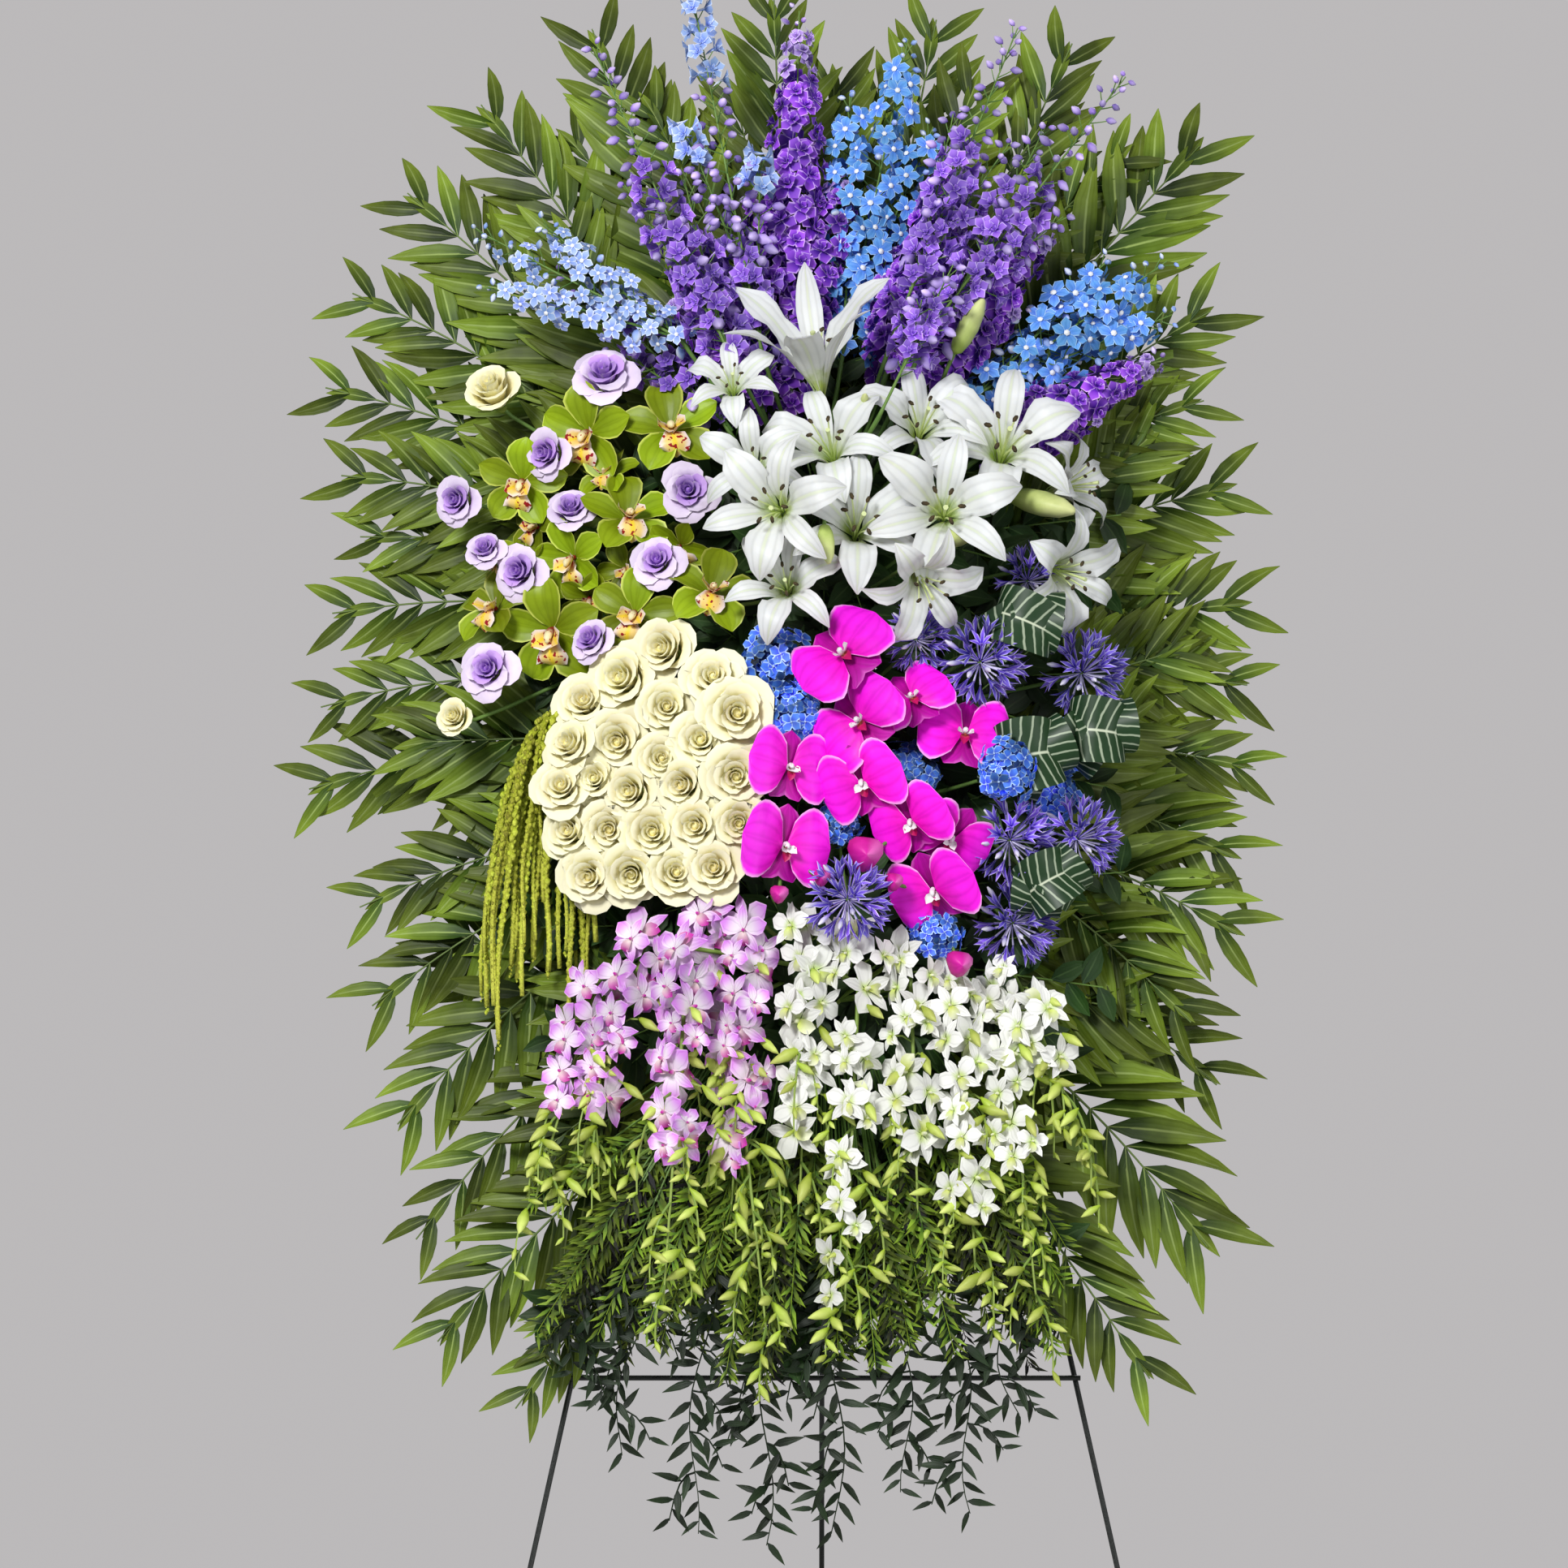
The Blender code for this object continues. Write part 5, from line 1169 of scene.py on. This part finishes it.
def agapanthus(draw, n):
    """Ball of narrow six-petalled trumpets on stalks."""
    petal = blade([(0.04, 0), (0.10, 0.70), (0.62, 1.20)], 0.125, 0.6, 4, 3, fold=0.3, stub=0.08)
    trumpet = whorl(petal, 6, draw, loose=0.10)
    bud = lathe([(0.04, 0), (0.13, 0.35), (0.16, 0.75), (0.05, 1.1)], 6, slot=1)
    forms = []
    for k, out in enumerate(golden_ball(30, 1.45)):
        start = (out * 0.10) + (0, 0, -0.18)
        base = out * (0.58, 0.58, 0.46) * draw.uniform(0.85, 1.1)
        forms.append(tube([start, (start + base) / 2 - (0, 0, 0.03), base], [0.022, 0.02, 0.03], 4, 0))
        form = bud if k % 5 == 2 else trumpet
        turn = frame_of(out + (jitter(draw, 0.2), jitter(draw, 0.2), 0.1), draw.uniform(0, 3), 0.40)
        forms.append(placed(form, turn, base, jitter(draw, 0.8)))
    return joined(forms)


ORCHID_BUDS = ((1065, 1050, 27), (1180, 1185, 20), (1012, 1080, 13), (1100, 1085, 14), (960, 1100, 14))


def orchid_buds(centres, draw, stem_slot):
    """Moth orchid buds on short stalks, placed by column and row."""
    forms = []
    bud = lathe([(0.10, -0.9), (0.50, -0.6), (0.80, -0.1), (0.78, 0.25), (0.48, 0.75), (0.06, 1.1)], 15, 3,
                0.13, 3)
    for column, row, radius in ORCHID_BUDS:
        centre = at(column, row, dome(column, row) + 0.015)
        forms.append(placed(bud, frame_of(outward(column, row + 300), 0.4, radius * PIXEL), centre))
        near = nearest(centres, centre)
        back = near[0] - near[1] * near[2] * 0.1
        rear = centre - FORWARD * radius * PIXEL * 0.7
        path = bezier([back, (back + rear) / 2 - FORWARD * 0.03, rear], 6)
        forms.append(tube(path, 0.0022, 6, stem_slot))
    return forms


def all_bunches():
    """The bunches in the order in which the model draws their rolls."""
    half = pi / 8
    bunch("hydrangea_heads", HYDRANGEAS, (1042, 1010), -0.04, ring_marks(8, 1.0, 0.24, half, 0.11),
          hydrangea, [HYDRANGEA, HYDRANGEA_EYE, HYDRANGEA_SHADE_CORE, STEM], "hydrangea_blue", 0.3, 1.40)
    bunch("agapanthus_heads", AGAPANTHUSES, (1015, 900), -0.035, ring_marks(8, 0.84, 0.34, half, 0.32),
          agapanthus, [AGAPANTHUS, AGAPANTHUS_TIP, STEM], "agapanthus_indigo", 0.2, 1.66)
    bunch("phalaenopsis_spray", PHALAENOPSES, (1015, 960), 0.0, ring_marks(1, 0.88, 0.0), moth_orchid,
          [MAGENTA, MOTH_LIP, MOTH_EYE, MOTH_BUD, MAGENTA_SHADED_SEPAL, STEM], "phalaenopsis_magenta", 0.1, 1.17,
          0.1, (orchid_buds,), MOTH_LOOKS)
    bunch("cymbidium_spray", CYMBIDIUMS, (988, 740), -0.02, ring_marks(5, 1.0, 0.12), cymbidium,
          [LIME, LIP, COLUMN, PALE_STEM], "cymbidium_lime", 0.1, 1.34, 0.5, (back_cymbidiums,))
    bunch("cream_roses", CREAM_ROSES, (988, 980), -0.01, ring_marks(5, 0.98, 0.28, 0.0), cream_rose,
          [CREAM, SEPAL, STEM], "cream_rose", 0.6, 1.62, 0.22)
    bunch("lilac_roses", LILAC_ROSES, (988, 704), 0.0, ring_marks(5, 0.98, 0.28, 0.0), lilac_rose,
          [LILAC, LILAC_OUTER, CREAM, SEPAL, STEM], "lilac_rose", 0.6, 1.26, 0.3)
    bunch("lily_stem_upper", LILIES_UPPER, (1015, 680), 0.01, ring_marks(6, 1.0, 0.16), upper_lily,
          [LILY, LILY_THREAD, ANTHER, LILY_BUD, STEM], "lily_white", 0.45, 1.16, 0.2,
          (lily_buds(UPPER_BUDS),), ((0, -0.45, 0),) + ((0, 0, 0),) * 5)
    bunch("lily_stem_lower", LILIES_LOWER, (1028, 750), 0.01, ring_marks(6, 1.0, 0.16), lily,
          [LILY, LILY_THREAD, ANTHER, LILY_BUD, STEM], "lily_white", 0.45, 1.14, 0.3,
          (lily_buds(LOWER_BUDS),))


# Folded striped leaves, amaranthus, dendrobiums and trailing foliage

STRIPED_LOOPS = (
    ((1262, 770), (52, 40), 0.4), ((1268, 935), (46, 52), -0.2),
    ((1352, 905), (44, 46), 0.1), ((1292, 1088), (42, 40), -0.5),
)
LOOP_RISE = 0.020
# The leaves of one loop: how far each leans, its size, and its shifts back and aside
LOOP_LEAVES = ((0.0, 1.5, 0.0, 0.0), (1.25, 1.35, 0.006, 0.5), (-1.0, 1.3, 0.012, -0.6))


def loop_marks(centre, wide, high, turn):
    """Three of the corners that the solid of a leaf bent over itself has."""
    a = 2 * pi * (np.array([0, 2, 6]) + 0.5) / 9
    rotation = np.array(Matrix.Rotation(turn, 3, "Y"))
    half = high * (0.65 + 0.35 * np.cos(a)) * 0.55
    middle = np.stack([wide * 0.5 * np.sin(a), -LOOP_RISE * np.cos(a), half], -1)
    away = np.stack([np.sin(a) * 0.6, -np.cos(a), 0 * a], -1)
    return centre + (middle + away * 0.0014) @ rotation.T


def striped_loops():
    """Long dark leaves folded into loops, with pale stripes from their midrib."""
    cloud = cloud_of("striped_leaves")
    hub, forms = knuckle((1042, 910), 1)
    for (column, row), (wide, high), turn in STRIPED_LOOPS:
        start = at(column, row, dome(column, row) + 0.02)
        wide = wide * PIXEL
        high = high * PIXEL
        choices = [(loop_marks(c, wide * s, high * s, turn), (c, s)) for c, s in seats(start)]
        centre, scale = best(cloud, choices)
        for lean, grow, shift, aside in LOOP_LEAVES:
            side = (aside * wide * 0.6, shift, 0.3 * aside * high)
            forms.append(looped_leaf(centre + side, wide * scale * grow, high * scale * grow, turn + lean))
        back = centre + np.array([0, 0.0205, 0])
        path = bezier([hub, (hub + back) / 2 + FORWARD * 0.02, back], 6)
        forms.append(tube(path, 0.0026, 6, 1))
    piece("striped_leaves_folds", forms, [STRIPED, STEM], "striped_leaf", "striped_leaves")


def looped_leaf(centre, wide, high, turn):
    """One leaf bent round its loop, folded a little along its midrib."""
    steps, lanes = 27, 9
    rotation = np.array(Matrix.Rotation(turn, 3, "Y"))
    a = np.linspace(-0.80 * pi, 0.80 * pi, steps)
    half = high * 0.60 * np.abs(np.sin(np.linspace(0.02, 0.98, steps) ** 0.8 * pi)) ** 0.5 + 0.001
    middle = np.stack([wide * 0.5 * np.sin(a), -LOOP_RISE * 1.1 * np.cos(a), 0 * a], -1)
    away = np.stack([np.sin(a) * 0.6, -np.cos(a), 0 * a], -1)
    v = np.linspace(-1, 1, lanes)
    flat = middle[:, None] + v[None, :, None] * half[:, None, None] * (0, 0, 1)
    lift = 0.006 * np.abs(v)[None, :, None] * np.ones((steps, 1, 1))
    front = flat + away[:, None] * (0.0008 + lift)
    back = flat + away[:, None] * (lift - 0.0006)
    form = shell(front, back[1:-1, 1:-1])
    return Form(centre + form.points @ rotation.T, form.quads, form.shade, form.slot)


TASSEL_COLUMN = 690
TASSEL_ROW = 880
# Column and lowest row of each tassel
TASSELS = (
    (598, 1225), (614, 1275), (629, 1190), (644, 1215), (659, 1180), (674, 1205), (689, 1195),
    (703, 1290), (717, 1335), (732, 1150),
)


def amaranthus():
    """Bunch of hanging tassels, knobbly all along, with thinner ones between."""
    mouth, end = root_at(988, 870)
    hub = at(TASSEL_COLUMN, 868, 0.160)
    draw = random.Random(4)
    forms = [tube(bezier([end, mouth + FORWARD * 0.02, (mouth + hub) / 2, hub], 8), 0.0032, 6, 1)]
    strands = [(c, r, 0.163 + 0.014 * (n % 2), 1.05) for n, (c, r) in enumerate(TASSELS)]
    bead = lathe([(0.35, -1.0), (0.95, -0.1), (0.35, 1.0)], 4)
    for n in range(20):
        column, end_row = TASSELS[n % len(TASSELS)]
        place = (column + jitter(draw, 9), end_row - draw.uniform(0, 150))
        strands.append((*place, 0.140 + draw.uniform(0, 0.045), draw.uniform(0.75, 0.95)))
    for column, end_row, depth, thick in strands:
        aside = column - TASSEL_COLUMN
        top = at(TASSEL_COLUMN + aside * 0.42, TASSEL_ROW + abs(aside) * 0.30, depth)
        low = at(column, TASSEL_ROW, depth)
        drop = (end_row - TASSEL_ROW) * PIXEL
        count = int(drop / 0.0033)
        share = np.linspace(0, 1, count)
        sway = 0.0022 * np.sin(share * draw.uniform(5, 12) + draw.uniform(0, 6))
        path = top + np.outer(share * drop, DOWN)
        path[:, 0] += (low - top)[0] * (1 - (1 - share) ** 2.6) + sway
        path[:, 1] += sway[::-1] - 0.004 * share
        lead = bezier([hub, (hub + top) / 2 + (0, 0, 0.016), top], np.linspace(0, 0.9, 6))
        path = np.concatenate([lead, path])
        taper = np.concatenate([np.full(6, 0.7), 1 - 0.5 * share**2])
        forms.append(tube(path[::6], 0.0030 * thick, 4, 0))
        ahead = np.gradient(path, axis=0)
        tone = jitter(draw, 0.9)
        for k in range(4, len(path) - 1):
            out = unit(np.array([cos(k * GOLDEN), sin(k * GOLDEN), jitter(draw, 0.2)]))
            size = 0.0038 * thick * taper[k] * draw.uniform(0.7, 1.4)
            turn = pointed_at(out, unit(ahead[k]), size)
            here = path[k] + out * 0.0022 * thick * taper[k]
            forms.append(placed(bead, turn, here, tone + jitter(draw, 0.5)))
    piece("amaranthus_tassels_beads", forms, [AMARANTH, STEM], "amaranthus_green", "amaranthus_tassels",
          crease=180)


def stars_of(node):
    """Open blooms of a node's solid: centre, facing, size and roll, read off their ten-sided fans."""
    mesh = frame["nodes"][node].data
    points, where = np.unique(np.round(corners_of(node), 5), axis=0, return_inverse=True)
    where = where.ravel()
    mesh.calc_loop_triangles()
    near = {}
    for triangle in mesh.loop_triangles:
        a, b, c = (int(where[v]) for v in triangle.vertices)
        for here, others in ((a, (b, c)), (b, (a, c)), (c, (a, b))):
            near.setdefault(here, []).append(others)
    found = []
    for here, fans in near.items():
        ring = sorted({v for pair in fans for v in pair})
        if len(fans) != 10 or len(ring) != 10:
            continue
        middle = points[ring].mean(axis=0)
        axis = points[here] - middle
        size = np.linalg.norm(axis) / 0.09
        if axis[1] > 0 or not 0.02 < size < 0.045:
            continue
        face = unit(axis)
        tip = max((points[v] - middle for v in ring), key=np.linalg.norm)
        local = frame_of(face).T @ tip
        found.append((middle - face * size * 0.05, face, size, atan2(local[1], local[0]) - pi / 2))
    return found


def dendrobium(draw):
    sepal = blade([(0.05, 0), (0.5, 0.10), (1.0, jitter(draw, 0.1))], 0.21, 0.5, 5, 3, cup=0.2, fold=0.1)
    wing = blade([(0.05, 0.02), (0.5, 0.16), (0.98, 0.02)], 0.36, 0.58, 5, 4, cup=0.1, fullness=0.62,
                 wave=0.1)
    lip = blade([(0.0, 0.06), (0.22, 0.26), (0.46, 0.20), (0.62, -0.02)], 0.22, 0.6, 6, 5, cup=0.45, wave=0.2,
                fullness=0.65, slot=1)
    spur = tube([(0, 0, 0), (0, -0.12, -0.22), (0, -0.08, -0.42)], [0.10, 0.08, 0.02], 4)
    forms = [lathe([(0.05, 0.0), (0.09, 0.1), (0.04, 0.26)], 6, slot=1), spur, placed(lip, turned(-pi / 2))]
    for k in range(5):
        form = wing if k in (1, 4) else sepal
        angle = pi / 2 + 2 * pi * k / 5 + jitter(draw, 0.08)
        forms.append(placed(form, turned(angle, draw.uniform(-0.05, 0.15)), tone=jitter(draw, 0.4)))
    return joined(forms)


# Each spray: column and row of its start and of its tip, and the share of it that has blooms
PINK_SPRAYS = (
    (880, 1125, 800, 1420, 0.66), (800, 1150, 715, 1440, 0.70), (745, 1190, 660, 1480, 0.62),
    (930, 1130, 900, 1500, 0.66), (850, 1180, 820, 1600, 0.60), (900, 1240, 945, 1640, 0.50),
)
WHITE_SPRAYS = (
    (1000, 1130, 985, 1480, 0.70), (1060, 1150, 1040, 1610, 0.96), (1120, 1170, 1130, 1500, 0.72),
    (1180, 1200, 1200, 1560, 0.80), (1230, 1210, 1275, 1600, 0.66), (1250, 1200, 1330, 1400, 0.60),
)


def bud_stem(start, way, length, draw, bud, size):
    """Thin hanging stem with a row of buds that get smaller."""
    end = start + unit(way) * length * 0.45 + DOWN * length * 0.7
    path = bezier([start, start + unit(way) * length * 0.5, end], 7)
    forms = [tube(path, np.linspace(0.0017, 0.0009, 7), 4, 3)]
    count = draw.choice((4, 5, 6))
    for k in range(count):
        t = 0.25 + 0.75 * k / (count - 1) + draw.uniform(-0.04, 0)
        here = bezier([start, start + unit(way) * length * 0.5, end], [t])[0]
        sign = 1 if k % 2 else -1
        heading = np.array([sign * draw.uniform(0.1, 1.0), draw.uniform(-0.9, 0.4), -draw.uniform(0.2, 1.0)])
        turn = frame_of(heading, 0, size * (1.25 - 0.7 * t) * draw.uniform(0.6, 1.35))
        forms.append(placed(bud, turn, here, jitter(draw, 0.6)))
    return forms


def dendrobiums(node, root, sprays, paints, slot, seed):
    """Arching sprays: the solid's blooms, more between them, and hanging stems of buds."""
    draw = random.Random(seed)
    blooms = [dendrobium(draw) for _ in range(4)]
    bud = lathe([(0.05, -0.10), (0.17, 0.2), (0.25, 0.55), (0.15, 0.95), (0.02, 1.25)], 6, slot=2)
    cloud = cloud_of(node)
    hub, forms = knuckle(root, 3)
    for n, (centre, face, size, roll) in enumerate(stars_of(node)):
        forms.append(placed(blooms[n % 4], frame_of(face, roll, size), centre, jitter(draw, 0.4)))
    for column, row, end_column, end_row, bloom_share in sprays:
        top = at(column, row, dome(column, row) - 0.03)
        bottom = at(end_column, end_row, 0.150)
        middle = top + (bottom - top) * 0.45 + FORWARD * 0.05
        bends = [FORWARD * 0.006 * n for n in range(20)]
        bend = best(cloud, [((bottom + b)[None], b) for b in bends])
        arch = [top + bend, middle + bend, bottom + bend]
        path = np.concatenate([[hub], bezier(arch, 10)])
        forms.append(tube(path, np.linspace(0.0028, 0.0012, 11), 6, 3))
        count = round(18 * bloom_share)
        for k in range(count):
            share = 0.04 + (bloom_share - 0.04) * k / (count - 1)
            here = bezier(arch, [share])[0]
            side = 1 if k % 2 else -1
            away = np.array([side * draw.uniform(0.2, 1.0), -draw.uniform(0.2, 1.0), draw.uniform(-0.6, 0.3)])
            centre = here + unit(away) * draw.uniform(0.014, 0.032)
            size = draw.uniform(0.019, 0.029)
            face = unit(away * (1.0, 1, 0.8) + FORWARD * 0.35)
            form, turn = blooms[k % 4], frame_of(face, jitter(draw, 0.8), size)
            if k % 4 == 3:
                form, turn = bud, frame_of(away * (1, 1, 0.2) + DOWN * 0.7, 0, 0.024)
            forms.append(placed(form, turn, centre, jitter(draw, 0.6)))
            stalk = [here, (here + centre) / 2 + (0, 0, 0.003), centre - face * size * 0.1]
            forms.append(tube(stalk, 0.0011, 4, 3))
        for k in range(6):
            share = 0.44 + 0.54 * k / 5
            here = bezier(arch, [share])[0]
            way = np.array([jitter(draw, 1), -draw.uniform(0.1, 0.5), -0.5])
            length = draw.uniform(0.06, 0.135) * (1.15 - 0.35 * share)
            forms += bud_stem(here, way, length, draw, bud, 0.0215)
    piece(node + "_sprays", forms, paints, slot, node)


# Column, lowest row and width of each trailing strand
STRANDS = (
    (760, 1790, 0.040), (850, 1885, 0.040), (940, 1900, 0.040), (1030, 1885, 0.040),
    (1120, 1835, 0.040), (1200, 1860, 0.040), (1250, 1740, 0.040),
    (695, 1690, 0.060), (985, 1700, 0.060),
)


def leafy_stem(path, leaf, draw, spacing, length, slot, facing=FORWARD, open_turn=48, thin=0.0013):
    """Stem with leaves by turns on both sides."""
    path = np.array(path)
    steps = np.linalg.norm(np.diff(path, axis=0), axis=1)
    reach = np.concatenate([[0], np.cumsum(steps)])
    forms = [tube(path, np.linspace(thin, thin * 0.5, len(path)), 4, slot)]
    count = int(reach[-1] / spacing)
    for k in range(count):
        share = (k + 0.7) / count
        here = np.array([np.interp(share * reach[-1], reach, path[:, i]) for i in range(3)])
        n = min(int(share * (len(path) - 1)), len(path) - 2)
        way = unit(path[n + 1] - path[n])
        side = unit(np.cross(way, facing)) * (1 if k % 2 else -1)
        turn = radians(open_turn + jitter(draw, 24))
        heading = way * cos(turn) + side * sin(turn) + facing * draw.uniform(-0.25, 0.45)
        looks = facing + side * jitter(draw, 0.6) + way * jitter(draw, 0.3)
        size = length * draw.uniform(0.8, 1.12) * (1.05 - 0.35 * share)
        forms.append(placed(leaf, pointed_at(heading, looks, size), here, jitter(draw, 0.8)))
    return forms


FERNS = 138


def trailing():
    """Strands of pointed leaves with side twigs, and a skirt of fine fern above them."""
    draw = random.Random(12)
    leaf = blade([(0, 0), (0.4, 0.08), (1, -0.06)], 0.125, 0.42, 5, 3, fold=0.25, stub=0.04, thick=0.012)
    needle = blade([(0, 0), (0.5, 0.06), (1, 0)], 0.09, 0.45, 3, 3, stub=0.06, thick=0.03, slot=1)
    hub, forms = knuckle((1015, 1330), 2)
    for n, (column, end_row, wide) in enumerate(STRANDS):
        start_row = 1545 + 14 * (n % 3)
        top = at(AXIS_COLUMN + (column - AXIS_COLUMN) * 0.85, start_row, 0.118 + 0.012 * (n % 2))
        bottom = top + DOWN * (end_row - start_row) * PIXEL
        bottom[0] = (column - AXIS_COLUMN) * PIXEL
        lead = bezier([hub, hub + (top - hub) * 0.6, top], 5)[:-1]
        sway = np.linspace(0, 1, 14)
        hang = top + np.outer(sway, bottom - top)
        hang[:, 0] += 0.010 * np.sin(sway * 7 + n)
        forms.append(tube(lead, 0.0018, 4, 2))
        forms += leafy_stem(hang, leaf, draw, 0.0110, 0.041, 0)
        for k in range(5):
            here = hang[2 + 2 * k]
            away = np.array([draw.choice((-1, 1)) * draw.uniform(0.5, 0.9), -0.2, 0])
            low = here + away * 0.045 + DOWN * draw.uniform(0.03, 0.055)
            forms += leafy_stem(bezier([here, here + away * 0.03, low], 5), leaf, draw, 0.010, 0.038, 0)
    for n in range(FERNS):
        column = 655 + 665 * (n * GOLDEN_SHARE % 1.0)
        start = hub + ((column - AXIS_COLUMN) * PIXEL * 0.45, 0, draw.uniform(-0.02, 0.03))
        row = 1585 + draw.uniform(-110, 125) - abs(column - 1000) * 0.10
        tip = at(column, row, 0.080 + draw.uniform(0, 0.065))
        path = bezier([start, (start + tip) / 2 + FORWARD * 0.05, tip], 14)
        spray = leafy_stem(path[6:], needle, draw, 0.0034, 0.028, 1, open_turn=40, thin=0.001)
        tone = jitter(draw, 0.9)
        forms += [placed(f, tone=tone, slot=1) for f in spray]
        forms.append(tube(path[:8], 0.0011, 4, 2))
    piece("trailing_ruscus_leaves", forms, [RUSCUS, FERN, STEM], "trailing_green", "trailing_ruscus")


TWIGS = 96
LOW_TWIGS = 34


def twig_leaves(start, tip, rise, leaf, draw, spacing, length, open_turn):
    """Leafy twig that leaves the foam forwards and bends to its tip."""
    path = bezier([start, start + FORWARD * rise, (start + tip) / 2 + FORWARD * 0.02, tip], 9)
    return leafy_stem(path[2:], leaf, draw, spacing, length, 1, open_turn=open_turn, thin=0.0016)


def filler_leaves():
    """Dark leafy twigs out of the foam's front, which fill the ground between the flowers; their near-black
    colour is partly their own dark green and partly painted shade in the gaps.
    """
    draw = random.Random(31)
    leaf = blade([(0, 0), (0.4, 0.06), (1, -0.10)], 0.24, 0.5, 5, 3, cup=0.15, fold=0.12, stub=0.04,
                 thick=0.008, wave=0.1)
    forms = []
    for n in range(TWIGS):
        row = 575 + 755 * (n + 0.5) / TWIGS
        start = at(AXIS_COLUMN + jitter(draw, 45), row, BRICK_FRONT - 0.004)
        angle = n * GOLDEN
        far = draw.uniform(0.45, 1.0)
        column = AXIS_COLUMN + 400 * cos(angle) * far
        tip_row = row + 250 * sin(angle) * far
        tip = at(column, tip_row, max(0.100, dome(column, tip_row) - draw.uniform(0.050, 0.090)))
        forms += twig_leaves(start, tip, 0.04, leaf, draw, 0.017, 0.064, 52)
    for n in range(LOW_TWIGS):
        start = at(AXIS_COLUMN + jitter(draw, 45), 1325 + draw.uniform(-60, 0), BRICK_FRONT - 0.004)
        column = 670 + 640 * (n * GOLDEN_SHARE % 1.0)
        tip_row = 1575 + draw.uniform(-70, 120) - abs(column - 1000) * 0.12
        tip = at(column, tip_row, 0.07 + draw.uniform(0, 0.03))
        forms += twig_leaves(start, tip, 0.03, leaf, draw, 0.019, 0.066, 45)
    piece("filler_leaves", forms, [FILLER, STEM], "trailing_green")


camera()
surroundings()
floor()
made_parts()
leaflets = leaflet_forms()
palm_fronds(leaflets)
filler_fronds(leaflets)
spikes()
all_bunches()
striped_loops()
amaranthus()
dendrobiums("pink_dendrobiums", (1001, 1200), PINK_SPRAYS, [PINK, PINK_LIP, BUD, PALE_STEM],
            "dendrobium_pink", 21)
dendrobiums("white_dendrobiums", (1030, 1240), WHITE_SPRAYS, [PEARL, PEARL_LIP, BUD, PALE_STEM],
            "dendrobium_white", 22)
trailing()
filler_leaves()
